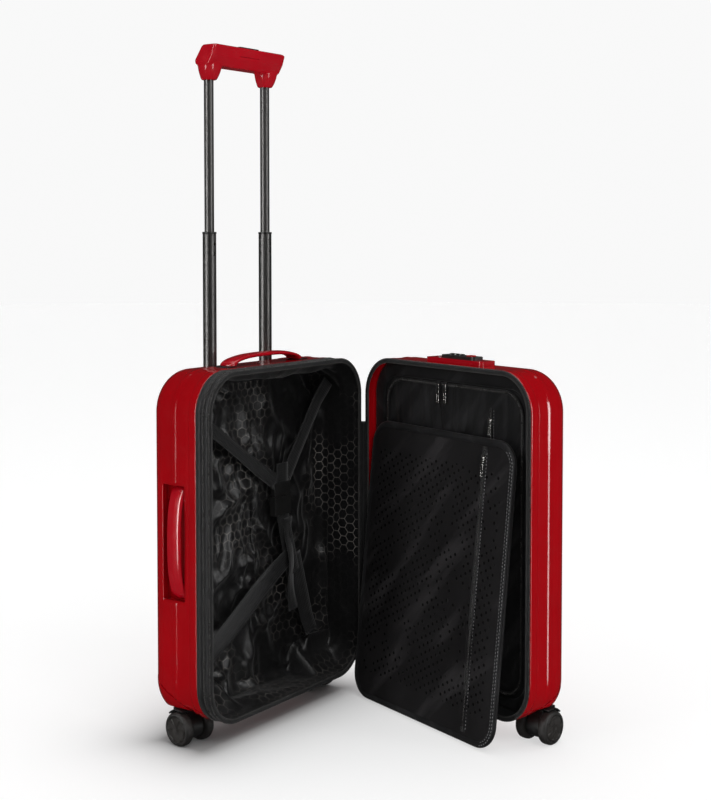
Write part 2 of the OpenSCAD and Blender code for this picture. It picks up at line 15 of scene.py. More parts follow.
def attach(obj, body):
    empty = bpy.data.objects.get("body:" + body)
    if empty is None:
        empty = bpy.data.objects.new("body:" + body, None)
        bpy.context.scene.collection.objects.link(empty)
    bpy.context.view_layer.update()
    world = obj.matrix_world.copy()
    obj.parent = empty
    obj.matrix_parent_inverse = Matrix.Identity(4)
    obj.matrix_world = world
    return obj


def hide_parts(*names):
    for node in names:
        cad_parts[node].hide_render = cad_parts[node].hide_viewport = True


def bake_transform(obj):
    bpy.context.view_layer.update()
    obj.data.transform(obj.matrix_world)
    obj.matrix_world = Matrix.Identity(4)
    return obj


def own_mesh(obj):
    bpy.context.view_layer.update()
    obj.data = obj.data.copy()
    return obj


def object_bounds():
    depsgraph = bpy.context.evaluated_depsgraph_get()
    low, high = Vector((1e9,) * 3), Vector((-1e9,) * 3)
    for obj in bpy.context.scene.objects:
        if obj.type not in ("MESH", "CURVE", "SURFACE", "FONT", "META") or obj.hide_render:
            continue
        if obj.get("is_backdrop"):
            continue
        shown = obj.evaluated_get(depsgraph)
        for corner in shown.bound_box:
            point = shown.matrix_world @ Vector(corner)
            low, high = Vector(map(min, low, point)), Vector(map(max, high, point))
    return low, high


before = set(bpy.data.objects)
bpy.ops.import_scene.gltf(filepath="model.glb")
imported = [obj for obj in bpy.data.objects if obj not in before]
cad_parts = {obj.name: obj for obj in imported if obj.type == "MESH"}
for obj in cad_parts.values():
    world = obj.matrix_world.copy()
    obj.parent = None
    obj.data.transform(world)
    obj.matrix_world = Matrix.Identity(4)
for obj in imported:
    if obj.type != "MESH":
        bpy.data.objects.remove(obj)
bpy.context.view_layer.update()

# ---------- sizes shared with the CAD ----------
CASE_W, CASE_H, GROUND = 0.382, 0.515, 0.035
CORNER_R, EDGE_R, WALL = 0.061, 0.030, 0.0025
BAND_D, REAR_D, ZIP_D, LID_D = 0.026, 0.092, 0.0037, 0.082
MID_Z, TOP_Z, SIDE_X = GROUND + CASE_H / 2, GROUND + CASE_H, CASE_W / 2
HINGE_X, OPEN = SIDE_X + 0.0038, math.radians(71.9)
TUBE_X = 0.068
SWIVEL_X, WELL_X, SLOPE, WELL_RUN = SIDE_X - 0.036, 0.104, 0.716, 0.060
REAR_SWIVEL, LID_SWIVEL = 0.082, 0.069
PAGE_W, PAGE_H = 0.344, 0.446


def moved(*by):
    return Matrix.Translation(by)


def turned(degrees, axis):
    return Matrix.Rotation(math.radians(degrees), 4, axis)


REAR = moved(-0.0345, 0.1328, 0)
LID = REAR @ moved(HINGE_X, 0, 0) @ Matrix.Rotation(OPEN, 4, "Z") @ moved(-HINGE_X, 0, 0)
PAGE = LID @ moved(0.008, -0.009, 0.447) @ turned(-2, "Z") @ turned(5.7, "X")


# ---------- materials ----------
class Nodes:
    """Short names for the nodes of one tree."""

    def __init__(self, tree):
        self.tree = tree

    def node(self, kind, **settings):
        n = self.tree.nodes.new(kind)
        for key, value in settings.items():
            setattr(n, key, value)
        return n

    def feed(self, socket, value):
        if isinstance(value, bpy.types.NodeSocket):
            self.tree.links.new(value, socket)
        elif value is not None:
            socket.default_value = value

    def place(self, kind="Object", scale=(1, 1, 1), turn=(0, 0, 0), shift=(0, 0, 0)):
        coords = self.node("ShaderNodeTexCoord")
        m = self.node("ShaderNodeMapping")
        m.inputs["Scale"].default_value = scale
        m.inputs["Rotation"].default_value = turn
        m.inputs["Location"].default_value = shift
        self.feed(m.inputs["Vector"], coords.outputs[kind])
        return m.outputs[0]

    def math(self, op, a, b=None, c=None):
        n = self.node("ShaderNodeMath", operation=op)
        for s, v in zip(n.inputs, (a, b, c)):
            self.feed(s, v)
        return n.outputs[0]

    def vmath(self, op, a, b=None, out=0):
        n = self.node("ShaderNodeVectorMath", operation=op)
        for s, v in zip(n.inputs, (a, b)):
            self.feed(s, v)
        return n.outputs[out]

    def split(self, v):
        n = self.node("ShaderNodeSeparateXYZ")
        self.feed(n.inputs[0], v)
        return n.outputs

    def noise(self, at, scale, detail=3, rough=0.5):
        n = self.node("ShaderNodeTexNoise")
        self.feed(n.inputs["Vector"], at)
        n.inputs["Scale"].default_value = scale
        n.inputs["Detail"].default_value = detail
        n.inputs["Roughness"].default_value = rough
        return n.outputs["Fac"]

    def wave(self, value, k):
        return self.math("SINE", self.math("MULTIPLY", value, k))

    def span(self, value, low, high, to_low=0.0, to_high=1.0):
        n = self.node("ShaderNodeMapRange")
        for s, v in zip(n.inputs, (value, low, high, to_low, to_high)):
            self.feed(s, v)
        return n.outputs[0]

    def colour(self, fac, a, b):
        n = self.node("ShaderNodeMix", data_type="RGBA")
        self.feed(n.inputs[0], fac)
        for s, v in ((n.inputs[6], a), (n.inputs[7], b)):
            self.feed(s, v if isinstance(v, bpy.types.NodeSocket) else (*v, 1))
        return n.outputs[2]

    def mottled(self, base, fac, low, high, dark, bright):
        """The base colour, darker and brighter as fac goes from low to high."""
        return self.colour(self.span(fac, low, high), tint(base, dark), tint(base, bright))


class Net(Nodes):
    """One material with a Principled shader."""

    def __init__(self, name, base, rough, metal=0.0, **sockets):
        self.mat = bpy.data.materials.new(name)
        self.mat.use_nodes = True
        super().__init__(self.mat.node_tree)
        self.bsdf = self.tree.nodes["Principled BSDF"]
        self.bsdf.inputs["Base Color"].default_value = (*base, 1)
        self.bsdf.inputs["Roughness"].default_value = rough
        self.bsdf.inputs["Metallic"].default_value = metal
        for key, value in sockets.items():
            self.bsdf.inputs[key.replace("_", " ")].default_value = value
        self.mat.diffuse_color = (*base, 1)

    def set(self, colour=None, rough=None):
        self.feed(self.bsdf.inputs["Base Color"], colour)
        self.feed(self.bsdf.inputs["Roughness"], rough)

    def bump(self, height, distance, strength=1.0):
        """Adds a bump of that height in metres on top of any earlier one."""
        n = self.node("ShaderNodeBump")
        n.inputs["Strength"].default_value = strength
        n.inputs["Distance"].default_value = distance
        self.feed(n.inputs["Height"], height)
        before = self.bsdf.inputs["Normal"].links
        if before:
            self.feed(n.inputs["Normal"], before[0].from_socket)
        self.feed(self.bsdf.inputs["Normal"], n.outputs[0])


def tint(colour, k):
    return tuple(min(1.0, c * k) for c in colour)


def red_gloss(name, base, rough, peel):
    n = Net(name, base, rough, Coat_Weight=0.35, Coat_Roughness=0.04, Specular_IOR_Level=0.42)
    at = n.place()
    n.set(n.mottled(base, n.noise(at, 9, 3), 0.3, 0.7, 0.9, 1.08),
          n.span(n.noise(at, 55, 4), 0.3, 0.75, rough * 0.75, rough * 1.5))
    n.bump(n.noise(at, 180, 2), peel)
    return n.mat


def painted_sheen_bands(n, along, across):
    """Soft bands drawn out along a diagonal, as on cloth that was folded: the mask for painted sheen, and for
    a bump.
    """
    x, y, _ = n.split(n.place("UV"))
    v = n.node("ShaderNodeCombineXYZ")
    n.feed(v.inputs[0], n.math("MULTIPLY", n.math("SUBTRACT", x, y), along))
    n.feed(v.inputs[1], n.math("MULTIPLY", n.math("ADD", x, y), across))
    return n.span(n.noise(v.outputs[0], 1, 3), 0.52, 0.66)


def weave(name, base, pitch, depth, rough, sheen, twill=False, spec=0.35):
    """Plain or twill cloth with threads one pitch apart."""
    n = Net(name, base, rough, Sheen_Weight=sheen, Sheen_Roughness=0.45, Specular_IOR_Level=spec)
    at = n.place("UV")
    k = math.pi / pitch
    u, v, _ = n.split(at)
    worn = n.noise(at, 26, 4)
    shade = n.mottled(base, worn, 0.25, 0.8, 0.72, 1.45)
    if twill:
        thread = n.wave(n.math("ADD", u, v), k)
        crease = painted_sheen_bands(n, 3.5, 22)
        # Painted sheen: the cloth's colour lightens along the diagonal bands.
        shade = n.colour(crease, shade, tint(base, 2.2))
        n.bump(crease, 0.0008, 0.6)
    else:
        thread = n.math("MULTIPLY", n.wave(u, k), n.wave(v, k))
    n.set(shade, n.span(worn, 0.25, 0.8, rough * 0.88, min(1, rough * 1.12)))
    fuzz = n.math("MULTIPLY", n.noise(at, 900, 1), 0.6)
    n.bump(n.math("ADD", n.math("MULTIPLY", thread, 0.5), fuzz), depth)
    return n.mat


def honeycomb_satin(name, base, line, cell, rough):
    """Thin satin with a woven honeycomb whose lines catch the light, shown as painted sheen: the lines are
    painted lighter in patches.
    """
    n = Net(name, base, rough, Sheen_Weight=0.15, Sheen_Roughness=0.35, Specular_IOR_Level=0.5,
            Anisotropic=0.3)
    at = n.place("UV", scale=(1 / cell, 1 / cell, 0))
    root3 = math.sqrt(3)

    def from_middle(start):
        """Hexagonal distance from the middle of a cell, in one of the two interlaced grids."""
        p = n.vmath("MODULO", n.vmath("ADD", at, (start, start * root3, 0)), (1, root3, 1))
        p = n.vmath("SUBTRACT", p, (0.5, root3 / 2, 0.5))
        p = n.vmath("ABSOLUTE", n.vmath("MULTIPLY", p, (1, 1, 0)))
        return n.math("MAXIMUM", n.split(p)[0], n.vmath("DOT_PRODUCT", p, (0.5, root3 / 2, 0), out=1))
    wall = n.span(n.math("MINIMUM", from_middle(60), from_middle(60.5)), 0.455, 0.480)
    wide = n.place("UV")
    # Painted sheen: the honeycomb lines get the lighter colour only in noisy patches, where light would catch
    # them.
    painted_sheen_lines = n.math("MULTIPLY", wall, n.span(n.noise(wide, 8, 3), 0.46, 0.60, 0.05, 1))
    n.set(n.colour(painted_sheen_lines, base, line), n.span(painted_sheen_lines, 0, 1, rough, rough * 0.62))
    u, v, _ = n.split(wide)
    n.bump(n.wave(n.math("ADD", u, v), math.pi / 0.0007), 0.00002)
    n.bump(n.noise(wide, 70, 5, 0.6), 0.0012, 0.5)
    n.bump(painted_sheen_lines, 0.00015)
    return n.mat


def perforated(name, base, pitch, rough):
    """Smooth cloth pierced by small holes, some of them left out."""
    n = Net(name, base, rough, Specular_IOR_Level=0.14)
    at = n.place("UV", scale=(1 / pitch, 1 / pitch, 0), turn=(0, 0, math.radians(30)))
    cell = n.vmath("FLOOR", at)
    chance = n.node("ShaderNodeTexWhiteNoise", noise_dimensions="2D")
    n.feed(chance.inputs["Vector"], cell)
    off = n.vmath("SUBTRACT", n.vmath("FRACTION", at), (0.5, 0.5, 0))
    hole = n.span(n.vmath("LENGTH", off, out=1), 0.17, 0.24, 1, 0)
    wide = n.place("UV")
    dense = n.span(n.noise(wide, 9, 2), 0.36, 0.54, 0.35, 1.0)
    hole = n.math("MULTIPLY", hole, n.math("LESS_THAN", chance.outputs["Value"], dense))
    x, y, _ = n.split(wide)
    inside = n.math("MULTIPLY", n.math("LESS_THAN", n.math("ABSOLUTE", x), PAGE_W / 2 - 0.024),
                    n.math("LESS_THAN", n.math("ABSOLUTE", n.math("ADD", y, PAGE_H / 2)), PAGE_H / 2 - 0.045))
    hole = n.math("MULTIPLY", hole, inside)
    wear = n.noise(wide, 7, 4)
    crease = painted_sheen_bands(n, 3.0, 17)
    # Painted sheen: the cloth's colour lightens along the diagonal bands, over the worn patches.
    cloth = n.colour(crease, n.mottled(base, wear, 0.3, 0.75, 0.8, 1.4), tint(base, 2.5))
    n.bump(crease, 0.0008, 0.6)
    # The holes are near-black: partly the dark padding behind them, partly painted shade inside them.
    n.set(n.colour(hole, cloth, (0.0004, 0.0004, 0.0004)),
          n.math("MAXIMUM", n.span(wear, 0.3, 0.75, rough * 0.85, rough * 1.15), hole))
    n.bump(n.wave(n.math("ADD", x, y), math.pi / 0.0006), 0.00002)
    n.bump(n.math("MULTIPLY", hole, -1.0), 0.00025)
    return n.mat


def moulded(name, base, rough, grain=0.00006, scale=900, **sockets):
    """Moulded plastic with a fine grain and slightly worn patches."""
    n = Net(name, base, rough, **sockets)
    at = n.place()
    n.set(n.mottled(base, n.noise(at, 40, 4), 0.3, 0.75, 0.8, 1.3),
          n.span(n.noise(at, 60, 3), 0.3, 0.7, rough * 0.85, min(1, rough * 1.2)))
    n.bump(n.noise(at, scale, 2), grain)
    return n.mat


def metal(name, base, rough, stretch=(1, 1, 1), scale=300, strength=0.00003, **sockets):
    """Metal with a brushed or polished finish: stretch draws the scratches out along an axis."""
    n = Net(name, base, rough, 1.0, **sockets)
    at = n.place(scale=stretch)
    fine = n.noise(at, scale, 3, 0.6)
    n.set(n.mottled(base, fine, 0.3, 0.7, 0.8, 1.2),
          n.span(fine, 0.25, 0.75, rough * 0.75, min(1, rough * 1.35)))
    n.bump(fine, strength)
    return n.mat


def ribbed(name, base, pitch, depth, rough):
    """Webbing or zipper tape: ribs one pitch apart across it."""
    n = Net(name, base, rough, Sheen_Weight=0.15, Sheen_Roughness=0.4, Specular_IOR_Level=0.35)
    at = n.place("UV")
    u, v, _ = n.split(at)
    rib, cross = n.wave(u, 2 * math.pi / pitch), n.wave(v, 2 * math.pi / (pitch * 1.7))
    n.set(n.mottled(base, n.noise(at, 60, 3), 0.3, 0.7, 0.75, 1.35))
    n.bump(n.math("ADD", rib, n.math("MULTIPLY", cross, 0.45)), depth)
    return n.mat


RED = red_gloss("red_shell", (0.30, 0.0012, 0.004), 0.10, 0.000005)
RED_TRIM = red_gloss("red_trim", (0.36, 0.0015, 0.008), 0.18, 0.000010)
# The second colour is the painted sheen of the honeycomb lines.
SATIN = honeycomb_satin("lining_satin", (0.0044, 0.0043, 0.0046), (0.120, 0.111, 0.102), 0.0150, 0.38)
NYLON = weave("nylon", (0.0060, 0.0060, 0.0064), 0.0011, 0.00007, 0.55, 0.12)
NYLON_SOFT = weave("nylon_soft", (0.0066, 0.0065, 0.0069), 0.0009, 0.00004, 0.46, 0.06, True, 0.18)
PERFORATED = perforated("perforated_cloth", (0.0098, 0.0092, 0.0096), 0.0112, 0.46)
WEBBING = ribbed("webbing", (0.0095, 0.0095, 0.0098), 0.0022, 0.00012, 0.50)
TAPE = ribbed("zipper_tape", (0.006, 0.006, 0.0063), 0.0016, 0.00008, 0.6)
BINDING = weave("binding", (0.021, 0.020, 0.019), 0.0012, 0.00009, 0.5, 0.15)
TEETH = moulded("zipper_teeth", (0.040, 0.038, 0.036), 0.28, 0.00002, 1500, Specular_IOR_Level=0.6)
THREAD = moulded("thread", (0.20, 0.20, 0.205), 0.55, 0.00005, 2500)
BLACK = moulded("black_plastic", (0.009, 0.0088, 0.0086), 0.42)
DARK = moulded("guide_plastic", (0.05, 0.05, 0.05), 0.5)
TYRE = moulded("tyre", (0.014, 0.0128, 0.0118), 0.55, 0.00008, 700)
HUB = moulded("hub", (0.018, 0.0160, 0.0142), 0.45, 0.00005, 900)
TUBE = metal("tube_dark", (0.112, 0.110, 0.108), 0.36, (1, 1, 0.004), 800, 0.000002, Anisotropic=0.4)
STEEL = metal("steel", (0.55, 0.55, 0.57), 0.28)
DARK_CHROME = metal("dark_chrome", (0.66, 0.65, 0.63), 0.20, scale=700, strength=0.00001)
DIGITS = moulded("digit_paint", (0.62, 0.62, 0.60), 0.45)


# ---------- building meshes ----------
def link(name, data, where=Matrix()):
    """A new object in the scene."""
    o = bpy.data.objects.new(name, data)
    bpy.context.scene.collection.objects.link(o)
    o.matrix_world = where
    return o


def shade_smooth(me, on=True):
    me.polygons.foreach_set("use_smooth", [on] * len(me.polygons))


def piece(name, verts, faces, mat, body, where=REAR, uv=None, stands_for=(), ride=True, flat=False):
    """A mesh object in place. uv, if given, holds one pair for each loop of each face."""
    me = bpy.data.meshes.new(name)
    me.from_pydata([tuple(map(float, v)) for v in verts], [], [tuple(map(int, f)) for f in faces])
    if uv is not None:
        me.uv_layers.new(name="UVMap").data.foreach_set("uv", np.asarray(uv, np.float32).ravel())
    shade_smooth(me, not flat)
    me.materials.append(mat)
    me.update()
    o = link(name, me, where)
    return settle(o, body, stands_for) if ride else o


def settle(o, body, stands_for=()):
    """Rides a piece on its body, in place of the CAD nodes it stands for."""
    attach(o, body)
    if stands_for:
        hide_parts(*stands_for)
    return o


@contextmanager
def editing(me):
    """Opens a mesh as a bmesh, and writes it back at the end."""
    bm = bmesh.new()
    bm.from_mesh(me)
    yield bm
    bm.to_mesh(me)
    bm.free()


def grid(rows, close=True, uv=None, flip=False):
    """Faces and loop uvs of rows of points; close joins the last column to the first."""
    rows = np.asarray(rows, float)
    r, c = rows.shape[:2]
    wide = c if close else c - 1
    faces, loops = [], []
    for i in range(r - 1):
        for j in range(wide):
            k = (j + 1) % c
            quad = [i * c + j, i * c + k, (i + 1) * c + k, (i + 1) * c + j]
            spots = [(i, j), (i, j + 1), (i + 1, j + 1), (i + 1, j)]
            if flip:
                quad, spots = quad[::-1], spots[::-1]
            faces.append(quad)
            if uv is not None:
                loops.extend(uv[a][b] for a, b in spots)
    return rows.reshape(-1, 3), faces, loops


def capped(rows, middle, rings, flip=False):
    """Points, faces and columns of a surface through the rows that then closes in on the middle."""
    last = rows[-1]
    shrunk = [middle + (last - middle) * [t, 1, t] for t in 1 - np.arange(1, rings) / rings]
    verts, faces, _ = grid([*rows, *shrunk], flip=flip)
    c = len(last)
    base, tip = len(verts) - c, len(verts)
    faces += [(base + j, base + (j + 1) % c, tip)[::-1 if flip else 1] for j in range(c)]
    return np.vstack([verts, middle]), faces, c


def rim(w, h, r, corner, across, up):
    """Base points and outward directions once round a rounded rectangle, from the front."""
    cx, cz = w / 2 - r, h / 2 - r
    signs = ((1, 1), (-1, 1), (-1, -1), (1, -1))
    base, out = [], []
    for q, (sx, sz) in enumerate(signs):
        for i in range(corner):
            a = (q + i / corner) * math.pi / 2
            base.append((sx * cx, sz * cz))
            out.append((math.cos(a), math.sin(a)))
        nx, nz = signs[(q + 1) % 4]
        a = (q + 1) * math.pi / 2
        many = across if q % 2 == 0 else up
        for i in range(many):
            t = i / many
            base.append((cx * (sx + (nx - sx) * t), cz * (sz + (nz - sz) * t)))
            out.append((math.cos(a), math.sin(a)))
    return np.array(base), np.array(out)


def ring_row(shape, r, inset, y):
    """One row of points round the rim at that inset from the outline and that depth."""
    base, out = shape
    p = base + out * (r - inset)
    return np.column_stack([p[:, 0], np.full(len(p), y), p[:, 1] + MID_Z])


def rim_length(row):
    step = np.linalg.norm(np.roll(row, -1, axis=0) - row, axis=1)
    return np.concatenate([[0], np.cumsum(step)])


def run_length(path):
    """Distance along a path at each of its points."""
    return np.concatenate([[0], np.cumsum(np.linalg.norm(np.diff(path, axis=0), axis=1))])


def ring_uv(rows):
    """uv in metres: along the rim, and along the profile."""
    along = rim_length(rows[0])
    down = np.concatenate([[0], np.cumsum([np.linalg.norm(b[0] - a[0]) for a, b in zip(rows, rows[1:])])])
    return [[(u, v) for u in along] for v in down]


def swept(name, shape, r, profile, mat, body, where=REAR, flip=False, closed=False, **more):
    """A profile of (inset, depth) pairs swept round the rim."""
    profile = list(profile) + ([profile[0]] if closed else [])
    rows = [ring_row(shape, r, d, y) for d, y in profile]
    verts, faces, uv = grid(rows, True, ring_uv(rows), flip)
    return piece(name, verts, faces, mat, body, where, uv, **more)


def modifier(o, kind, **settings):
    m = o.modifiers.new(kind.lower(), kind)
    for key, value in settings.items():
        setattr(m, key, value)
    return m


def subdivide(o):
    modifier(o, "SUBSURF", levels=1, render_levels=1, use_limit_surface=False)


def apply_modifiers(o):
    dg = bpy.context.evaluated_depsgraph_get()
    me = bpy.data.meshes.new_from_object(o.evaluated_get(dg), preserve_all_data_layers=True, depsgraph=dg)
    o.modifiers.clear()
    o.data = me
    return o


def soften(node, width, mat):
    """A CAD node with eased edges and even shading, and its material."""
    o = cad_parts[node]
    o.data.materials.clear()
    o.data.materials.append(mat)
    shade_smooth(o.data)
    modifier(o, "WELD", merge_threshold=0.00001)
    modifier(o, "BEVEL", width=width, segments=2, limit_method="ANGLE", angle_limit=math.radians(32),
             use_clamp_overlap=True, miter_outer="MITER_ARC")
    modifier(o, "WEIGHTED_NORMAL", keep_sharp=True, weight=70)


def cut(bm, planes, near):
    """Splits faces along the planes and deletes those inside all of them.

    A plane is (point, outward direction), and near tells whether a place is within reach of the cut.
    """
    for point, direction in planes:
        faces = [f for f in bm.faces if near(f.calc_center_median())]
        geom = list({e for f in faces for e in f.edges} | set(faces) | {v for f in faces for v in f.verts})
        bmesh.ops.bisect_plane(bm, geom=geom, plane_co=point, plane_no=direction, dist=1e-6)

    def inside(f):
        c = f.calc_center_median()
        return all((c - Vector(p)).dot(Vector(d)) < 0 for p, d in planes)
    bmesh.ops.delete(bm, geom=[f for f in bm.faces if inside(f)], context="FACES")


def smoothstep(a, b, x):
    t = np.clip((np.asarray(x, float) - a) / (b - a), 0, 1)
    return t * t * (3 - 2 * t)


# ---------- shells ----------
def shell_profile(y0, depth, crease):
    """(inset, depth) pairs: a rolled bead at the rim, a raised crease half way, and the rounded back edge."""
    bead = [(2.4, 0), (1.0, 0), (0.35, 0.3), (0.05, 1.2), (0, 2.6), (0, 10.6), (0.1, 12.2), (0.45, 13.4),
            (0.85, 14.2), (0.95, 15.2), (0.75, 16.6), (0.6, 18.5)]
    pts = [(d / 1000, y0 + y / 1000) for d, y in bead]
    edge = y0 + depth - EDGE_R
    ridge = [(0.6 - 0.9 * (0.5 + 0.5 * math.cos(math.pi * t / 7.5)), t) for t in np.linspace(-7.5, 7.5, 13)]
    pts += [(d / 1000, crease + y / 1000) for d, y in ridge]
    pts += [(0.0006, edge - 0.002)]
    pts += [(0.0006 + EDGE_R * (1 - math.cos(a)), edge + EDGE_R * math.sin(a))
            for a in np.linspace(0, math.pi / 2, 16)]
    return pts


def seam_z(y, swivel):
    """Height of the slanted cut over a wheel housing."""
    return GROUND + SLOPE * (y - swivel + WELL_RUN)


def shell(name, y0, depth, swivel, crease, body, where, side, cuts=()):
    """A hard half. side is 1 for the rear, and -1 for the lid, whose depth runs to -y."""
    shape = rim(CASE_W, CASE_H, CORNER_R, corner=20, across=30, up=44)
    rows = [ring_row(shape, CORNER_R, d, y) for d, y in shell_profile(y0, depth, crease)]
    verts, faces, _ = capped(rows, np.array([0, y0 + depth, MID_Z]), 56)
    o = piece(name, verts, faces, RED, body, where, ride=False)
    sides = [Vector(a) for a in ((1, 0, 0), (0, 1, 0), (0, 0, 1))]
    with editing(o.data) as bm:
        for s in (1, -1):
            slope = Vector((0, -SLOPE, 1)).normalized()
            foot = Vector((0, swivel - WELL_RUN, GROUND))
            cut(bm, [((s * WELL_X, 0, 0), (-s, 0, 0)), (foot, slope)],
                lambda p, s=s: s * p.x > WELL_X - 0.01 and p.z < seam_z(p.y, swivel) + 0.02)
        for low, high in cuts:
            low, high = Vector(low), Vector(high)
            cut(bm, [(low, -a) for a in sides] + [(high, a) for a in sides],
                lambda p, a=low, b=high: all(a[i] - 0.012 < p[i] < b[i] + 0.012 for i in range(3)))
        if side < 0:
            bmesh.ops.scale(bm, vec=(1, -1, 1), verts=bm.verts)
        bmesh.ops.recalc_face_normals(bm, faces=bm.faces)
        if max(bm.faces, key=lambda f: f.calc_center_median().z).normal.z < 0:
            bmesh.ops.reverse_faces(bm, faces=bm.faces)
    modifier(o, "SOLIDIFY", thickness=WALL, offset=-1, use_even_offset=False)
    return o


def raised_bars(name, xs, half_w, low, high, y, out, body, where):
    """Pressed ribs on a shell's flat face, with soft shoulders that run out into it."""
    verts, faces = [], []
    rise, sunk, shoulder, margin = 0.0018, 0.0003, 0.0036, 0.0004
    across = np.linspace(-1, 1, 29) * (half_w + margin)
    stops = (low - margin, low + half_w, high - half_w, high + margin)
    up = np.unique(np.concatenate([np.linspace(a, b, n) for a, b, n in zip(stops, stops[1:], (18, 40, 18))]))
    for x in xs:
        at, c = len(verts), len(across)
        for z in up:
            beyond = max(low + half_w - z, z - (high - half_w), 0)
            lift = 1 - smoothstep(half_w - shoulder, half_w + margin, np.hypot(across, beyond))
            verts += [(x + a, y + out * (rise * h - sunk), z) for a, h in zip(across, lift)]
        for i in range(len(up) - 1):
            for j in range(c - 1):
                f = (at + i * c + j, at + i * c + j + 1, at + (i + 1) * c + j + 1, at + (i + 1) * c + j)
                faces.append(f if out < 0 else f[::-1])
    o = piece(name, verts, faces, RED, body, where)
    modifier(o, "SOLIDIFY", thickness=0.0006, offset=-1)
    return o


NOTCH = ((-0.092, 0.086, 0.520), (0.092, 0.130, 0.570))
CUP_HOLE = ((-0.200, 0.049, 0.218), (-0.180, 0.089, 0.386))
rear_shell = shell("shell_rear", BAND_D, REAR_D, REAR_SWIVEL, 0.068, "root", REAR, 1, (NOTCH, CUP_HOLE))
settle(rear_shell, "root", ("rear_shell",))
lid_shell = shell("shell_lid", ZIP_D, LID_D, LID_SWIVEL, 0.043, "lid", LID, -1)
settle(lid_shell, "lid", ("front_shell",))
raised_bars("rear_ribs", (-0.140, -0.035, 0.035, 0.140), 0.007, 0.1575, 0.4575, BAND_D + REAR_D, 1,
            "root", REAR)
raised_bars("lid_ribs", (-0.140, -0.084, -0.028, 0.028, 0.084, 0.140), 0.007, 0.1345, 0.4745,
            -ZIP_D - LID_D, -1, "lid", LID)

# ---------- rigid CAD parts that keep their shape ----------
for mat, nodes in (
        (RED, {"trolley_bezel": 0.0012, "side_handle_cup": 0.0012, "rear_wheel_housings": 0.0007,
               "front_wheel_housings": 0.0007}),
        (RED_TRIM, {"lock_base": 0.0016, "lock_button": 0.0012}),
        (DARK, {"tube_guides": 0.0004}),
        (BLACK, {"top_handle_mounts": 0.0004, "buckle_female": 0.0012, "buckle_male": 0.0012,
                 "outer_collars": 0.0004, "inner_feet": 0.0004, "grip_button": 0.0008, "lock_body": 0.0012,
                 "lock_dial_1": 0.0006, "lock_dial_2": 0.0006, "lock_dial_3": 0.0006}),
        (TUBE, {"outer_tubes": 0.0004, "inner_tubes": 0.0003}),
        (STEEL, {"rear_swivel_sets": 0.0003, "front_swivel_sets": 0.0003, "rear_screws": 0.0004,
                 "front_screws": 0.0004, "release_rods": 0.0002, "lock_pins": 0.0002,
                 "key_cylinder": 0.0003}),
        (TAPE, {"divider_zippers": 0.0002}),
        (DARK_CHROME, {"divider_pull_a": 0.0003, "divider_pull_b": 0.0003, "pocket_slider": 0.0004,
                       "pocket_pull": 0.0003, "page_slider": 0.0004, "page_pull": 0.0003})):
    for node, width in nodes.items():
        soften(node, width, mat)

# ---------- helpers for sewn and moulded pieces ----------
def clear_of_wells(p, swivel, lift=0.0068, block=True):
    """Lifts points in case coordinates over the wheel housings inside a half."""
    deep = np.abs(p[:, 1])
    near = smoothstep(WELL_X - 0.014, WELL_X - 0.004, np.abs(p[:, 0]))
    floor_z = seam_z(deep, swivel) + lift
    if block:
        block_x, block_top = 0.116, 0.0925
        over = smoothstep(block_x, block_x + 0.008, np.abs(p[:, 0]))
        over *= smoothstep(swivel - 0.030, swivel - 0.021, deep)
        floor_z = np.maximum(floor_z, over * block_top)
    wanted = np.maximum(p[:, 2], floor_z)
    p[:, 2] += (wanted - p[:, 2]) * near
    return p


def clear_of_cup(p):
    """Moves points in case coordinates to the inside of the cup of the side handle."""
    inner_x = -0.1605
    (_, y0, z0), (_, y1, z1) = CUP_HOLE
    near = smoothstep(z0 - 0.022, z0 - 0.008, p[:, 2]) * (1 - smoothstep(z1 + 0.008, z1 + 0.022, p[:, 2]))
    near *= smoothstep(y0 - 0.019, y0 - 0.009, p[:, 1]) * (1 - smoothstep(y1 + 0.009, y1 + 0.019, p[:, 1]))
    wanted = np.maximum(p[:, 0], inner_x)
    p[:, 0] += (wanted - p[:, 0]) * near
    return p


def noise_at(points, scale, seed=0.0, octaves=3):
    """Smooth noise around 0 at each point."""
    shift = Vector((seed, seed * 1.7, -seed))
    return np.array([noise.fractal(Vector(p) * scale + shift, 0.8, 2.1, octaves) for p in points])


def spaced_out(path, pitch, closed):
    """Points and directions at an even pitch along a polyline, with their distances along it and the run
    length at each corner.
    """
    path = np.asarray(path, float)
    if closed:
        path = np.vstack([path, path[:1]])
    s = run_length(path)
    many = max(2, int(round(s[-1] / pitch)))
    at = (np.arange(many) + 0.5) * s[-1] / many
    p = np.column_stack([np.interp(at, s, path[:, k]) for k in range(3)])
    q = np.column_stack([np.interp(np.minimum(at + pitch * 0.2, s[-1]), s, path[:, k]) for k in range(3)])
    d = q - p
    return p, d / np.linalg.norm(d, axis=1)[:, None], at, s


def unit(v):
    v = np.asarray(v, float)
    return v / np.maximum(np.linalg.norm(v, axis=-1, keepdims=True), 1e-12)


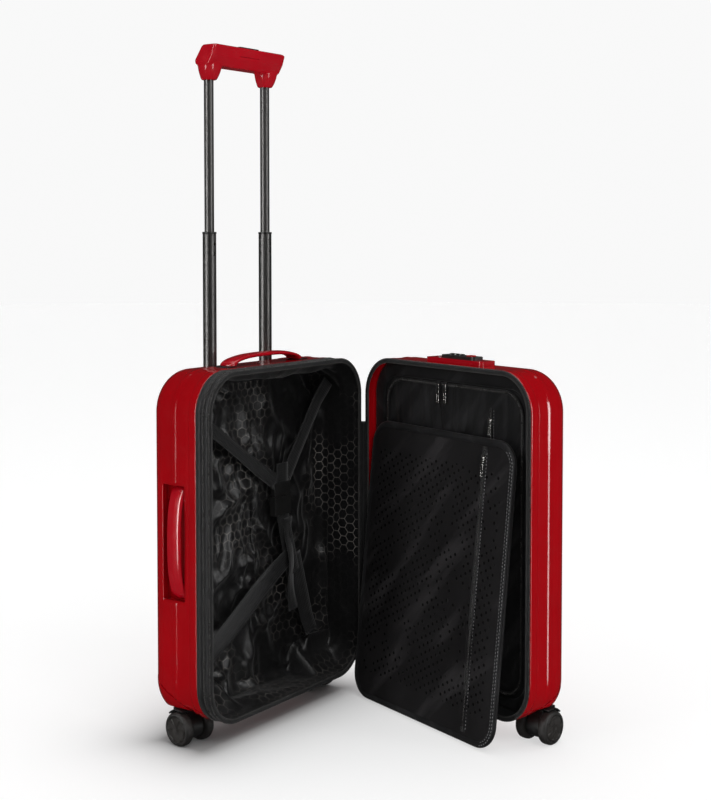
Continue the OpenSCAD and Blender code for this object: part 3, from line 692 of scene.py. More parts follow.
def studs(name, path, up, pitch, size, mat, body, where=REAR, closed=True, stagger=0.0, **more):
    """Small lozenges along a line: zipper teeth or stitches. size is (along, across, up), halved; up is one
    direction, or one for each point of the path."""
    p, along, at, s = spaced_out(path, pitch, closed)
    up = np.asarray(up, float)
    if up.ndim == 2:
        up = np.vstack([up, up[:1]]) if closed else up
        up = np.column_stack([np.interp(at, s, up[:, k]) for k in range(3)])
    else:
        up = np.tile(up, (len(p), 1))
    across = unit(np.cross(along, up))
    up = unit(np.cross(across, along))
    p = p + across * (stagger * np.where(np.arange(len(p)) % 2, 1, -1))[:, None]
    a, b, c = size
    corners = [(-1, 0, 0), (-0.6, -1, 0), (0.6, -1, 0), (1, 0, 0), (0.6, 1, 0), (-0.6, 1, 0),
               (-0.5, 0, 1), (-0.4, -0.6, 0.85), (0.4, -0.6, 0.85), (0.5, 0, 1), (0.4, 0.6, 0.85),
               (-0.4, 0.6, 0.85)]
    verts = np.stack([p + along * x * a + across * y * b + up * z * c for x, y, z in corners], 1)
    one = [(5, 4, 3, 2, 1, 0), (6, 7, 8, 9, 10, 11)]
    one += [(k, (k + 1) % 6, 6 + (k + 1) % 6, 6 + k) for k in range(6)]
    faces = [tuple(12 * i + v for v in f) for i in range(len(p)) for f in one]
    return piece(name, verts.reshape(-1, 3), faces, mat, body, where, **more)


def teeth(name, path, up, wide, tall, body, where=REAR, closed=True):
    """The coil of a zipper as two staggered rows of teeth."""
    pitch, half_long, stagger = 0.0019, 0.0007, 0.0003
    studs(name, path, up, pitch, (half_long, wide, tall), TEETH, body, where, closed, stagger)


def curve_through(points, many):
    """A smooth line of that many points through the given ones."""
    p = np.asarray(points, float)
    p = np.vstack([2 * p[0] - p[1], p, 2 * p[-1] - p[-2]])
    out = []
    for t in np.linspace(0, len(p) - 3 - 1e-9, many):
        i, u = int(t), t - int(t)
        a, b, c, d = p[i:i + 4]
        out.append(0.5 * (2 * b + (c - a) * u + (2 * a - 5 * b + 4 * c - d) * u * u
                          + (3 * b - a - 3 * c + d) * u ** 3))
    return np.array(out)


def ribbon(name, path, face, width, thick, mat, body, where=REAR, **more):
    """A flat strap along a line; face is the direction its flat side looks, one or one for each point."""
    path = np.asarray(path, float)
    along = unit(np.gradient(path, axis=0))
    face = np.asarray(face, float)
    face = np.tile(face, (len(path), 1)) if face.ndim == 1 else face
    side = unit(np.cross(along, face))
    face = unit(np.cross(side, along))
    w, t = width / 2, thick / 2
    section = [(-w, 0), (-w + t, t), (-w / 3, t * 1.1), (w / 3, t * 1.1), (w - t, t), (w, 0),
               (w - t, -t), (w / 3, -t), (-w / 3, -t), (-w + t, -t)]
    rows = [[path[i] + side[i] * x + face[i] * y for x, y in section] for i in range(len(path))]
    s = run_length(path)
    around = np.linspace(0, 2 * width, len(section) + 1)
    uv = [[(a, b) for a in around] for b in s]
    verts, faces, loops = grid(rows, True, uv)
    n = len(section)
    for cap in (list(range(n)), [len(verts) - 1 - k for k in range(n)]):
        faces.append(cap)
        loops.extend([(0, 0)] * n)
    return piece(name, verts, faces, mat, body, where, loops, **more)


def tube(name, path, radius, mat, body, where=REAR, closed=True):
    """A round cord such as piping along a line."""
    path = np.asarray(path, float)
    if closed:
        along = unit(np.roll(path, -1, axis=0) - np.roll(path, 1, axis=0))
    else:
        along = unit(np.gradient(path, axis=0))
    side = unit(np.cross(along, (0.0, 1.0, 0.0)))
    other = unit(np.cross(side, along))
    around = np.linspace(0, 2 * math.pi, 9)
    rows = [[p + radius * (s * math.cos(a) + o * math.sin(a)) for a in around[:-1]]
            for p, s, o in zip(path, side, other)]
    if closed:
        rows.append(rows[0])
    uv = [[(a * radius, b) for a in around] for b in run_length(np.array(rows)[:, 0])]
    verts, faces, loops = grid(rows, True, uv)
    return piece(name, verts, faces, mat, body, where, loops)


def prism(points, low, high, axis=0):
    """A closed prism over a polygon; axis is the one it runs along, and the polygon holds the other two."""
    n = len(points)

    def spot(p, t):
        v = list(p)
        v.insert(axis, t)
        return v
    verts = [spot(p, low) for p in points] + [spot(p, high) for p in points]
    faces = [tuple(range(n))[::-1], tuple(range(n, 2 * n))]
    faces += [(i, (i + 1) % n, n + (i + 1) % n, n + i) for i in range(n)]
    return verts, faces


def stack(sections):
    """A closed solid through sections of as many points each."""
    n = len(sections[0])
    verts, faces, _ = grid(sections)
    faces += [tuple(range(n))[::-1], tuple(range(len(verts) - n, len(verts)))]
    return verts, faces


def fused(name, solids, voxel, rounds, mat):
    """Overlapping closed solids melted into one moulding with softened corners."""
    me = bpy.data.meshes.new(name)
    with editing(me) as bm:
        for verts, faces in solids:
            made = [bm.verts.new(tuple(map(float, v))) for v in verts]
            for f in faces:
                bm.faces.new([made[i] for i in f])
            bmesh.ops.recalc_face_normals(bm, faces=bm.faces)
    me.materials.append(mat)
    o = link(name, me)
    modifier(o, "REMESH", mode="VOXEL", voxel_size=voxel, use_smooth_shade=True)
    modifier(o, "SMOOTH", factor=0.5, iterations=rounds)
    apply_modifiers(o)
    shade_smooth(o.data)
    if not o.data.materials:
        o.data.materials.append(mat)
    return o


def crumpled(o, pin, slack, frames, gravity, cap, outward, inward, weight=0.12):
    """Cloth simulation of a slack fabric held where pin is 1.

    Each point stays within cap of where it started, and within outward and inward of it along the
    surface's own direction.
    """
    me = o.data
    rest = np.array([v.co for v in me.vertices], float)
    normal = np.array([v.normal for v in me.vertices], float)
    group = o.vertex_groups.new(name="pin")
    for i, w in enumerate(pin):
        if w > 0.001:
            group.add([i], float(w), "REPLACE")
    m = modifier(o, "CLOTH")
    m.settings.quality = 4
    m.settings.mass = weight
    m.settings.tension_stiffness = m.settings.compression_stiffness = 12
    m.settings.shear_stiffness = 4
    m.settings.bending_stiffness = 0.03
    m.settings.air_damping = 3
    m.settings.vertex_group_mass = "pin"
    m.settings.shrink_min = -slack
    m.settings.shrink_max = -slack
    m.settings.effector_weights.gravity = gravity
    m.point_cache.frame_start, m.point_cache.frame_end = 1, frames
    for f in range(1, frames + 1):
        bpy.context.scene.frame_set(f)
    ev = o.evaluated_get(bpy.context.evaluated_depsgraph_get())
    now = np.array([v.co for v in ev.data.vertices], float)
    o.modifiers.remove(m)
    bpy.context.scene.frame_set(1)
    d = now - rest
    d[~np.isfinite(d)] = 0
    long = np.linalg.norm(d, axis=1)
    d *= np.minimum(1, cap / np.maximum(long, 1e-9))[:, None]
    along = (d * normal).sum(1)
    d += normal * (np.clip(along, -outward, inward) - along)[:, None]
    rest = rest + d
    return rest


def set_points(o, points):
    o.data.vertices.foreach_set("co", np.asarray(points, np.float32).ravel())
    o.data.update()


# ---------- rim of the rear half: expansion band, zippers and piping ----------
case_rim = rim(CASE_W, CASE_H, CORNER_R, corner=20, across=30, up=44)
fine_rim = rim(CASE_W, CASE_H, CORNER_R, corner=40, across=60, up=80)
rim_out = np.column_stack([fine_rim[1][:, 0], np.zeros(len(fine_rim[1])), fine_rim[1][:, 1]])


def mm(pairs):
    return [(a / 1000, b / 1000) for a, b in pairs]


swept("band_cloth", case_rim, CORNER_R, mm([
    (1.2, 4.2), (0.5, 5.2), (0.2, 7.6), (0.5, 10.2), (1.5, 11.0), (1.8, 11.4), (1.8, 16.2), (1.5, 16.8),
    (0.5, 17.6), (0.1, 20.4), (0.4, 24.6), (1.0, 25.9), (3.2, 25.9), (3.4, 15), (3.2, 4.2)]),
    NYLON, "root", closed=True, stands_for=("expansion_band",))
swept("rim_tape", case_rim, CORNER_R, mm([
    (1.0, 0.5), (0.55, 1.2), (0.5, 3.4), (1.0, 4.0), (5.0, 4.0), (5.6, 3.2), (5.6, 1.0), (5.0, 0.35),
    (2.2, 0.3)]), TAPE, "root", closed=True, stands_for=("rear_zipper",))


def rim_line(inset, y):
    """A closed line round the rim of the case."""
    return ring_row(fine_rim, CORNER_R, inset, y)


teeth("band_teeth", rim_line(0.0018, 0.0138), rim_out, 0.0017, 0.0012, "root")
teeth("rim_teeth", rim_line(0.0006, 0.0024), rim_out, 0.0012, 0.0010, "root")
tube("rim_piping", rim_line(0.0060, 0.0020), 0.0015, BINDING, "root")
tube("band_piping", rim_line(0.0004, 0.0252), 0.0008, BINDING, "root")
studs("band_stitches", rim_line(0.0004, 0.0090), rim_out, 0.0040, (0.0014, 0.0003, 0.0003), NYLON_SOFT,
      "root")

# ---------- rear lining ----------
LINING_W, LINING_H, LINING_R, LINING_FAR = 0.371, 0.504, 0.053, 0.0835
lining_rim = rim(LINING_W, LINING_H, LINING_R, corner=13, across=32, up=46)
turn_r = 0.018
profile = [(0.0002, 0.0046), (0.0004, 0.0062), (0.0006, 0.009)]
profile += [(0.0008, y) for y in np.linspace(0.0125, LINING_FAR - turn_r, 14)]
profile += [(0.0008 + turn_r * (1 - math.cos(a)), LINING_FAR - turn_r + turn_r * math.sin(a))
            for a in np.linspace(0, math.pi / 2, 8)[1:]]
rows = [ring_row(lining_rim, LINING_R, d, y) for d, y in profile]
wall_uv = ring_uv(rows)
middle = np.array([0, LINING_FAR, MID_Z])
verts, faces, columns = capped(rows, middle, 44)
loops = []
for f in faces:
    i, j = divmod(f[0], columns)
    if i < len(rows) - 1:
        loops += [wall_uv[i][j], wall_uv[i][j + 1], wall_uv[i + 1][j + 1], wall_uv[i + 1][j]]
    else:
        loops += [(verts[v][0] + 0.2, verts[v][2]) for v in f]
verts = clear_of_cup(clear_of_wells(verts, REAR_SWIVEL))
inner = smoothstep(0.006, 0.034, verts[:, 1])
back = smoothstep(LINING_FAR - 0.024, LINING_FAR - 0.003, verts[:, 1])
fold = np.zeros(len(verts))
for k, (angle, long, scale, share) in enumerate((
        (38, 0.34, 10, 1.0), (-50, 0.42, 14, 0.8), (82, 0.5, 22, 0.45))):
    c, w = math.cos(math.radians(angle)), math.sin(math.radians(angle))
    flat = verts[:, 0] + 0.9 * verts[:, 1] * np.sign(verts[:, 0])
    along, across = flat * c + verts[:, 2] * w, verts[:, 2] * c - flat * w
    spot = np.column_stack([along * long, across, verts[:, 1] * 0.6])
    fold += share * np.clip(1 - 3.0 * np.abs(noise_at(spot, scale, 3.1 + 4 * k, 2)), 0, 1) ** 1.4
fold = np.minimum(fold, 1.5) * (0.55 + 0.9 * np.abs(noise_at(verts, 7, 9.0, 2)))
towards_middle = (middle - verts) * [1, 0.4, 1]
verts = verts + unit(towards_middle) * (0.0060 * fold * inner * (1 - back))[:, None]
verts[:, 1] -= 0.0135 * fold * back
sag = np.clip(np.cos(math.pi * verts[:, 0] / LINING_W), 0, 1) ** 0.5 * inner
sag *= smoothstep(0.47, 0.53, verts[:, 2])
verts[:, 2] -= 0.011 * sag * (1 - 0.5 * back)
lining = piece("lining", verts, faces, SATIN, "root", REAR, loops, ride=False)
with editing(lining.data) as bm:
    bmesh.ops.recalc_face_normals(bm, faces=bm.faces)
    if bm.faces[len(bm.faces) - 1].normal.y > 0:
        bmesh.ops.reverse_faces(bm, faces=bm.faces)
pin = np.zeros(len(verts))
pin[:2 * columns] = 1
pin[2 * columns:4 * columns] = 0.6
points = crumpled(lining, pin, 0.07, 24, gravity=0.8, cap=0.012, outward=0.003, inward=0.012)
points = clear_of_cup(clear_of_wells(points, REAR_SWIVEL, 0.0062))
points[:, 1] = np.where(np.array(verts)[:, 1] > 0.070, np.clip(points[:, 1], 0.0600, 0.0850), points[:, 1])
set_points(lining, points)
modifier(lining, "SMOOTH", factor=0.3, iterations=1)
subdivide(lining)
settle(lining, "root", ("rear_lining",))

# ---------- packing straps ----------
STRAP_Y = 0.0572


def strap(name, a, b, sag, twist, wave=0.0, width=0.030, y=STRAP_Y, end_y=None):
    """One strap from a to b in (x, z), with a slack sag towards the back and a slight twist."""
    n = 28
    t = np.linspace(0, 1, n)
    a, b = np.array(a), np.array(b)
    line = a + (b - a) * t[:, None]
    depth = y + sag * np.sin(math.pi * t) + wave * np.sin(3.3 * math.pi * t)
    if end_y is not None:
        depth = depth + (end_y - y) * (1 - smoothstep(0.0, 0.22, t))
    path = np.column_stack([line[:, 0], depth, line[:, 1]])
    side = unit(np.array([-(b - a)[1], 0, (b - a)[0]]))
    angle = twist * np.sin(math.pi * t)
    face = np.column_stack([side[0] * np.sin(angle), -np.cos(angle), side[2] * np.sin(angle)])
    return ribbon(name, path, face, width, 0.0014, WEBBING, "root")


upper = strap("strap_top_left", (-0.1790, 0.500), (0.036, 0.358), 0.002, 0.30, 0.0012, width=0.025,
              end_y=0.050)
strap("strap_top_right", (0.1690, 0.508), (0.058, 0.360), 0.0005, 0.05, width=0.027, end_y=0.052)
strap("strap_top_middle", (0.050, 0.388), (0.050, 0.352), 0, 0, y=0.0560)
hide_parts("strap_upper")
lower = strap("strap_low_left", (-0.174, 0.093), (0.068, 0.238), 0.003, 0.30, 0.0015, end_y=0.050)
strap("strap_low_right", (0.124, 0.104), (0.083, 0.238), 0.001, 0.10, end_y=0.054)
strap("strap_low_middle", (0.080, 0.208), (0.050, 0.310), 0.0008, 0.06, y=0.0560)
strap("strap_tail", (0.062, 0.300), (0.074, 0.150), -0.001, 0.35, 0.002, width=0.024, y=0.0545)
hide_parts("strap_lower")

# ---------- hinge gusset ----------
gusset_r = 0.0033
hinge = np.array([HINGE_X, 0])
path = [(SIDE_X + 0.0006, y) for y in np.linspace(0.0135, 0.0012, 8)]
path += [(HINGE_X + gusset_r * math.cos(math.pi + a), gusset_r * math.sin(math.pi + a))
         for a in np.linspace(0, OPEN, 15)]
away = np.array([math.cos(math.pi + OPEN), math.sin(math.pi + OPEN)])
along_lid = np.array([math.sin(OPEN), -math.cos(OPEN)])
path += [hinge + away * gusset_r + along_lid * d for d in np.linspace(0.0012, 0.0135, 8)]
path = np.array(path)
levels = np.linspace(0.043, 0.443, 90)
rows = [[(x, y, z) for x, y in path] for z in levels]
s = run_length(path)
verts, faces, loops = grid(rows, False, [[(a, z) for a in s] for z in levels])
ripple = 0.00035 * np.sin(verts[:, 2] * 330) * np.sin(np.tile(s / s[-1], len(levels)) * math.pi)
verts = verts + np.column_stack([ripple * 0.6, -ripple * 0.6, ripple * 0])
gusset = piece("gusset", verts, faces, NYLON, "root", REAR, loops, ride=False)
modifier(gusset, "SOLIDIFY", thickness=0.0011, offset=0)
apply_modifiers(gusset)
shade_smooth(gusset.data)
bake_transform(gusset)
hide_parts("hinge_gusset")

# ---------- rim and divider of the lid ----------
swept("lid_tape", case_rim, CORNER_R, mm([
    (1.0, -0.5), (0.55, -1.1), (0.5, -3.0), (1.0, -3.6), (5.0, -3.6), (5.6, -2.9), (5.6, -1.0), (5.0, -0.4),
    (2.2, -0.35)]), TAPE, "lid", LID, True, closed=True, stands_for=("front_zipper",))
teeth("lid_teeth", rim_line(0.0006, -0.0021), rim_out, 0.0011, 0.0010, "lid", LID)
tube("lid_piping", rim_line(0.0060, -0.0021), 0.0016, BINDING, "lid", LID)

DIVIDER_Y, FIELD = -0.0225, 0.0270
field_rim = rim(CASE_W - 2 * FIELD, CASE_H - 2 * FIELD, CORNER_R - FIELD, corner=12, across=30, up=42)
border_rows = mm([(3.2, -23.6), (3.4, -21.6), (5, -20.2), (9, -19.2), (16, -18.9), (23, -19.2), (27.5, -19.9),
                  (29, -21.4), (29, -23.6)])
rows = [ring_row(case_rim, CORNER_R, d, y) for d, y in border_rows]
uv = ring_uv(rows)
rows = np.array(rows)
flat_rows = clear_of_wells(rows.reshape(-1, 3), LID_SWIVEL, 0.0062, block=False)
flat_rows[:, 1] += 0.0004 * noise_at(flat_rows, 60, 5.0)
verts, faces, loops = grid(flat_rows.reshape(rows.shape), True, uv, True)
border = piece("divider_border", verts, faces, NYLON_SOFT, "lid", LID, loops)
rows = np.array([ring_row(case_rim, CORNER_R, 0.0034, y) for y in np.linspace(-0.0040, -0.0232, 7)])
low = rows[0, :, 2] < GROUND + 0.085
start = int(np.argmax(low & ~np.roll(low, 1)))
rows = np.roll(rows, -start, axis=1)[:, :int(low.sum())]
uv = [[(x, -y) for x, y, z in row] for row in rows]
skirt_rows = clear_of_wells(rows.reshape(-1, 3), LID_SWIVEL, 0.0050, block=False).reshape(rows.shape)
verts, faces, loops = grid(skirt_rows, False, uv)
skirt = piece("divider_skirt", verts, faces, NYLON, "lid", LID, loops, ride=False)
modifier(skirt, "SOLIDIFY", thickness=0.0008, offset=0)
apply_modifiers(skirt)
settle(skirt, "lid")

middle = np.array([0, DIVIDER_Y, MID_Z])
edge_row = ring_row(field_rim, CORNER_R - FIELD, 0.0, DIVIDER_Y)
verts, faces, columns = capped([edge_row], middle, 40, flip=True)
loops = [(verts[v][0], verts[v][2]) for f in faces for v in f]
spots = np.column_stack([verts[:, 0] + verts[:, 2] * 0.7, verts[:, 1], verts[:, 2] * 0.3])
sheet_noise = noise_at(spots, 9, 7.0, 2)
reach_x, reach_z = (np.abs(verts[:, k] - middle[k]) for k in (0, 2))
edge_away = smoothstep(0, 0.03, np.minimum(reach_x.max() - reach_x, reach_z.max() - reach_z))
verts[:, 1] += 0.0010 * sheet_noise * edge_away
divider = piece("divider_cloth", verts, faces, NYLON_SOFT, "lid", LID, loops, ride=False)
pin = np.zeros(len(verts))
pin[:2 * columns] = 1
points = crumpled(divider, pin, 0.018, 18, gravity=0.6, cap=0.004, outward=0.0012, inward=0.0012, weight=0.15)
points[:, 1] = np.clip(points[:, 1], -0.0243, -0.0212)
set_points(divider, points)
subdivide(divider)
settle(divider, "lid", ("divider_panel",))

ZIP_R = CORNER_R - 0.025
ring_shape = rim(CASE_W - 0.072, CASE_H - 0.068, ZIP_R, corner=24, across=40, up=60)
teeth("divider_teeth", ring_row(ring_shape, ZIP_R, 0, -0.0197), (0, 1, 0), 0.0013, 0.0009, "lid", LID)
pocket_x = -0.089


def upright(x, y, *ends):
    return [(x, y, z) for z in ends]


teeth("pocket_teeth", upright(pocket_x, -0.0196, 0.092, 0.488), (0, 1, 0), 0.0013, 0.0009, "lid", LID, False)
for k, (x, mat) in enumerate(((-0.0055, THREAD), (0.0055, NYLON_SOFT))):
    studs(f"pocket_stitches_{k + 1}", upright(pocket_x + x, -0.0206, 0.092, 0.488), (0, 1, 0), 0.0046,
          (0.0015, 0.0004, 0.0004), mat, "lid", LID, False)

# ---------- padded page ----------
page_rim = rim(PAGE_W, PAGE_H, 0.038, corner=12, across=34, up=44)


def page_row(inset, y):
    base, direction = page_rim
    p = base + direction * (0.038 - inset)
    return np.column_stack([p[:, 0], np.full(len(p), y), p[:, 1] - PAGE_H / 2])


half = mm([(0, 0), (0.6, 1.6), (2.2, 2.7), (5, 3.0), (10, 3.0), (14, 3.25), (20, 3.8), (30, 4.3)])
middle = np.array([0, 0.0043, -PAGE_H / 2])
front, faces, columns = capped([page_row(d, y) for d, y in half], middle, 34)
back = front[columns:] * [1, -1, 1]
verts = np.vstack([front, back])
many, behind = len(front) // columns, len(front)


def back_index(i, j):
    """Index of a point of the back, whose first row is the front's: the two share the page's edge."""
    return j % columns if i == 0 else behind + (i - 1) * columns + j % columns


faces += [(back_index(i, j + 1), back_index(i, j), back_index(i + 1, j), back_index(i + 1, j + 1))
          for i in range(many - 1) for j in range(columns)]
faces += [(back_index(many - 1, j + 1), back_index(many - 1, j), len(verts) - 1) for j in range(columns)]
zip_x = -PAGE_W / 2 + 0.066
spots = np.column_stack([verts[:, 0] - 0.8 * verts[:, 2], verts[:, 1] * 0, 0.5 * verts[:, 2]])
crease = noise_at(spots, 11, 2.0, 2)
inside = smoothstep(0.004, 0.05, np.minimum(PAGE_W / 2 - np.abs(verts[:, 0]),
                                            PAGE_H / 2 - np.abs(verts[:, 2] + PAGE_H / 2)))
verts[:, 1] += 0.0016 * crease * inside
groove = (1 - smoothstep(0.0012, 0.0050, np.abs(verts[:, 0] - zip_x))) * (verts[:, 1] > 0.001)
groove *= smoothstep(0.0, 0.02, -verts[:, 2] - 0.012) * smoothstep(0.0, 0.02, verts[:, 2] + PAGE_H - 0.012)
verts[:, 1] -= 0.0011 * groove
loops = [(verts[v][0], verts[v][2]) for f in faces for v in f]
page = piece("page_pad", verts, faces, PERFORATED, "page", PAGE, loops, ride=False)
subdivide(page)
settle(page, "page", ("page",))
outer = mm([(9.5, 3.3), (8.5, 4.0), (5, 3.9), (1.8, 3.7), (0.1, 2.6), (-0.5, 0.8)])
rows = [page_row(d, y) for d, y in outer + [(d, -y) for d, y in outer[::-1]]]
verts, faces, loops = grid(rows, True, ring_uv(rows), True)
piece("page_binding", verts, faces, NYLON_SOFT, "page", PAGE, loops)
for k, inset in enumerate((0.0030, 0.0072)):
    line = [p for p in page_row(inset, 0.0039) if p[0] < -PAGE_W / 2 + 0.03 and p[2] < -0.012]
    line = sorted(line, key=lambda p: -p[2])
    studs(f"page_stitches_{k + 1}", line, (0, 1, 0), 0.0052, (0.0017, 0.00045, 0.0005), THREAD, "page",
          PAGE, False)
teeth("page_zip_teeth", upright(zip_x, 0.0041, -0.012, -PAGE_H + 0.014), (0, 1, 0), 0.0013, 0.0008, "page",
      PAGE, False)
studs("page_zip_stitches", upright(zip_x - 0.0068, 0.0044, -0.020, -PAGE_H + 0.018), (0, 1, 0), 0.0052,
      (0.0016, 0.00045, 0.0006), THREAD, "page", PAGE, False)
tape_line = curve_through([(zip_x, 0.0036, -0.012), (zip_x, 0.0037, -0.2), (zip_x, 0.0036, -0.432)], 60)
ribbon("page_zip_tape", tape_line, (0, 1, 0), 0.0105, 0.0008, TAPE, "page", PAGE)

# ---------- carry handles ----------
def arch(name, length, rise, thick, depth, where, node):
    """A moulded carry handle: a flattened arch with a crease along its top and flared feet."""
    n, power = 56, 2.6
    sections = []
    for i in range(n + 1):
        u = -math.cos(math.pi * i / n)
        lift = max(0.0, 1 - abs(u) ** power) ** 0.5
        outer = np.array([u * length / 2, 0, rise * lift])
        inner = np.array([u * (length / 2 - 2 * thick), 0, (rise - thick) * lift])
        wide = depth / 2 * (1 + 0.06 * smoothstep(0.72, 1.0, abs(u)))
        ring = []
        for a, b in ((-0.80, 0.0), (-0.95, 0.10), (-1.0, 0.32), (-0.99, 0.55), (-0.90, 0.78), (-0.62, 0.91),
                     (-0.30, 0.985), (0.0, 1.06), (0.30, 0.985), (0.62, 0.91), (0.90, 0.78), (0.99, 0.55),
                     (1.0, 0.32), (0.95, 0.10), (0.80, 0.0), (0.4, -0.04), (0, -0.05), (-0.4, -0.04)):
            p = inner + (outer - inner) * b
            ring.append((p[0], a * wide, p[2] - 0.0006 * (abs(u) > 0.999)))
        sections.append(ring)
    verts, faces = stack(sections)
    o = piece(name, verts, faces, RED_TRIM, "root", where, ride=False)
    with editing(o.data) as bm:
        bmesh.ops.recalc_face_normals(bm, faces=bm.faces)
    subdivide(o)
    return settle(o, "root", (node,))


arch("handle_top", 0.178, 0.0160, 0.0060, 0.026, REAR @ moved(0, 0.056, TOP_Z + 0.0014), "top_handle")
arch("handle_side", 0.165, 0.020, 0.006, 0.025,
     REAR @ moved(-SIDE_X + 0.01295, 0.065, 0.302) @ turned(-90, "Y"), "side_handle")

# ---------- grip ----------
def bar_section(x, shrink):
    pts = [(85.5, 1003), (87.5, 1000.2), (112.5, 1000.2), (116, 1003), (116.5, 1008), (102.8, 1028.5),
           (99.5, 1031), (78, 1031), (74.2, 1028.8), (79, 1014)]
    c = np.array([95.0, 1015.5])
    return [(x, *((c + (np.array(p) - c) * shrink) / 1000)) for p in pts]


def lug_section(x, z, a, b, cy, power=2.8):
    """A level ring between an ellipse, at power 2, and a rectangle."""
    ring, n = [], 28
    for i in range(n):
        t = 2 * math.pi * i / n
        k = (abs(math.cos(t)) ** power + abs(math.sin(t)) ** power) ** (-1 / power)
        ring.append((x + a * k * math.cos(t), cy + b * k * math.sin(t), z))
    return ring


ends = ((0.0860, 0.86), (0.0850, 0.94), (0.0830, 0.985), (0.0790, 1.0))
solids = [stack([bar_section(-x, k) for x, k in ends] + [bar_section(x, k) for x, k in ends[::-1]])]
for s in (-1, 1):
    solids.append(stack([lug_section(s * TUBE_X, z, a, b, cy) for z, a, b, cy in (
        (0.9790, 0.0098, 0.0098, 0.1025), (0.9803, 0.0112, 0.0108, 0.1022),
        (0.9860, 0.0136, 0.0130, 0.1015), (0.9930, 0.0160, 0.0148, 0.1010),
        (1.0000, 0.0176, 0.0158, 0.1006), (1.0070, 0.0176, 0.0150, 0.0990))]))
grip = fused("grip_body", solids, 0.0010, 9, RED_TRIM)
grip.matrix_world = REAR
corners = [(-0.0230, 0.0779), (0.0230, 0.0779), (0.0230, 0.0921), (-0.0230, 0.0921)]
recess = piece("recess_cutter", *prism(corners, 1.0170, 1.0400, 2), RED_TRIM, "root", ride=False)
modifier(grip, "BOOLEAN", operation="DIFFERENCE", object=recess, solver="EXACT")
bpy.context.view_layer.update()
apply_modifiers(grip)
bpy.data.objects.remove(recess)
shade_smooth(grip.data)
settle(grip, "trolley_upper", ("grip",))

coil_r, coil_turns, coil_y, coil_z = 0.004, 4, 0.098, 1.0022
t = np.linspace(0, 1, 130)
coil = np.column_stack([coil_r * np.cos(2 * math.pi * coil_turns * t),
                        coil_y + coil_r * np.sin(2 * math.pi * coil_turns * t), coil_z + 0.0048 * t])
spring = tube("release_coil", coil, 0.0003, STEEL, "trolley_upper", closed=False)
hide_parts("button_spring")
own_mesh(spring)

# ---------- casters ----------
AXLE_Z, TRAIL, PAIR = 0.025, 0.012, 0.020


def round_points(cy, cz, r, angles):
    return [(cy + r * math.cos(a), cz + r * math.sin(a)) for a in angles]


def arc_band(cy, cz, r0, r1, a0, a1):
    angles = [math.radians(a0 + (a1 - a0) * i / 22) for i in range(23)]
    return round_points(cy, cz, r1, angles) + round_points(cy, cz, r0, angles[::-1])


fork_solids = [
    prism(round_points(-TRAIL, AXLE_Z, 0.0185, np.arange(40) * 2 * math.pi / 40), -0.0112, 0.0112),
    prism([(-0.029, 0.030), (-0.016, 0.0505), (0.012, 0.0505), (0.0105, 0.0300), (0.003, 0.0200)],
          -0.0112, 0.0112),
    stack([lug_section(0, z, r, r, 0, 2.0) for z, r in (
        (0.0440, 0.0118), (0.0540, 0.0118), (0.0553, 0.0112))]),
    prism(arc_band(-TRAIL, AXLE_Z, 0.0262, 0.0290, 44, 108), -0.0235, 0.0235),
    prism(arc_band(-TRAIL, AXLE_Z, 0.0150, 0.0285, 50, 104), -0.0112, 0.0112)]
# (radius, place along the axle) in millimetres, from the inner face over the tyre to the hub
wheel_profile = [
    (0, -7.3), (8, -7.3), (9, -7.5), (18.6, -7.5), (21.4, -7.35), (23.6, -6.5), (24.7, -4.9), (25, -3.0),
    (25, 2.6), (24.7, 4.4), (23.6, 6.1), (21.9, 7.1), (20.2, 7.45), (19.5, 7.2), (19.2, 6.2), (18.7, 5.9),
    (18.2, 6.1), (17.7, 6.9), (16.6, 7.15), (13.0, 7.25), (9.0, 7.3), (5.6, 7.35), (4.6, 6.9), (0, 6.9)]
spokes, steps = 6, 96
verts, faces = [], []
for r, x in wheel_profile:
    for i in range(steps):
        a = 2 * math.pi * i / steps
        across = (i * spokes / steps) % 1.0
        hub = smoothstep(5.2, 6.5, r) * (1 - smoothstep(16.8, 17.6, r)) * (x > 0)
        facet = -0.9 * across if across < 0.94 else -0.9 * (1 - across) / 0.06
        verts.append(((x + facet * float(hub)) / 1000, r * math.cos(a) / 1000, r * math.sin(a) / 1000))
for i in range(len(wheel_profile) - 1):
    for j in range(steps):
        k = (j + 1) % steps
        faces.append(((i + 1) * steps + j, (i + 1) * steps + k, i * steps + k, i * steps + j))
wheel_mesh = bpy.data.meshes.new("wheel")
wheel_mesh.from_pydata(verts, [], faces)
for m in (TYRE, HUB):
    wheel_mesh.materials.append(m)
shade_smooth(wheel_mesh)
wheel_mesh.polygons.foreach_set("material_index", [int(i // steps >= 15) for i in range(len(faces))])
with editing(wheel_mesh) as bm:
    bmesh.ops.remove_doubles(bm, verts=bm.verts, dist=1e-7)
    bmesh.ops.recalc_face_normals(bm, faces=bm.faces)
    for e in bm.edges:
        if len(e.link_faces) == 2 and e.calc_face_angle(0) > math.radians(38):
            e.smooth = False

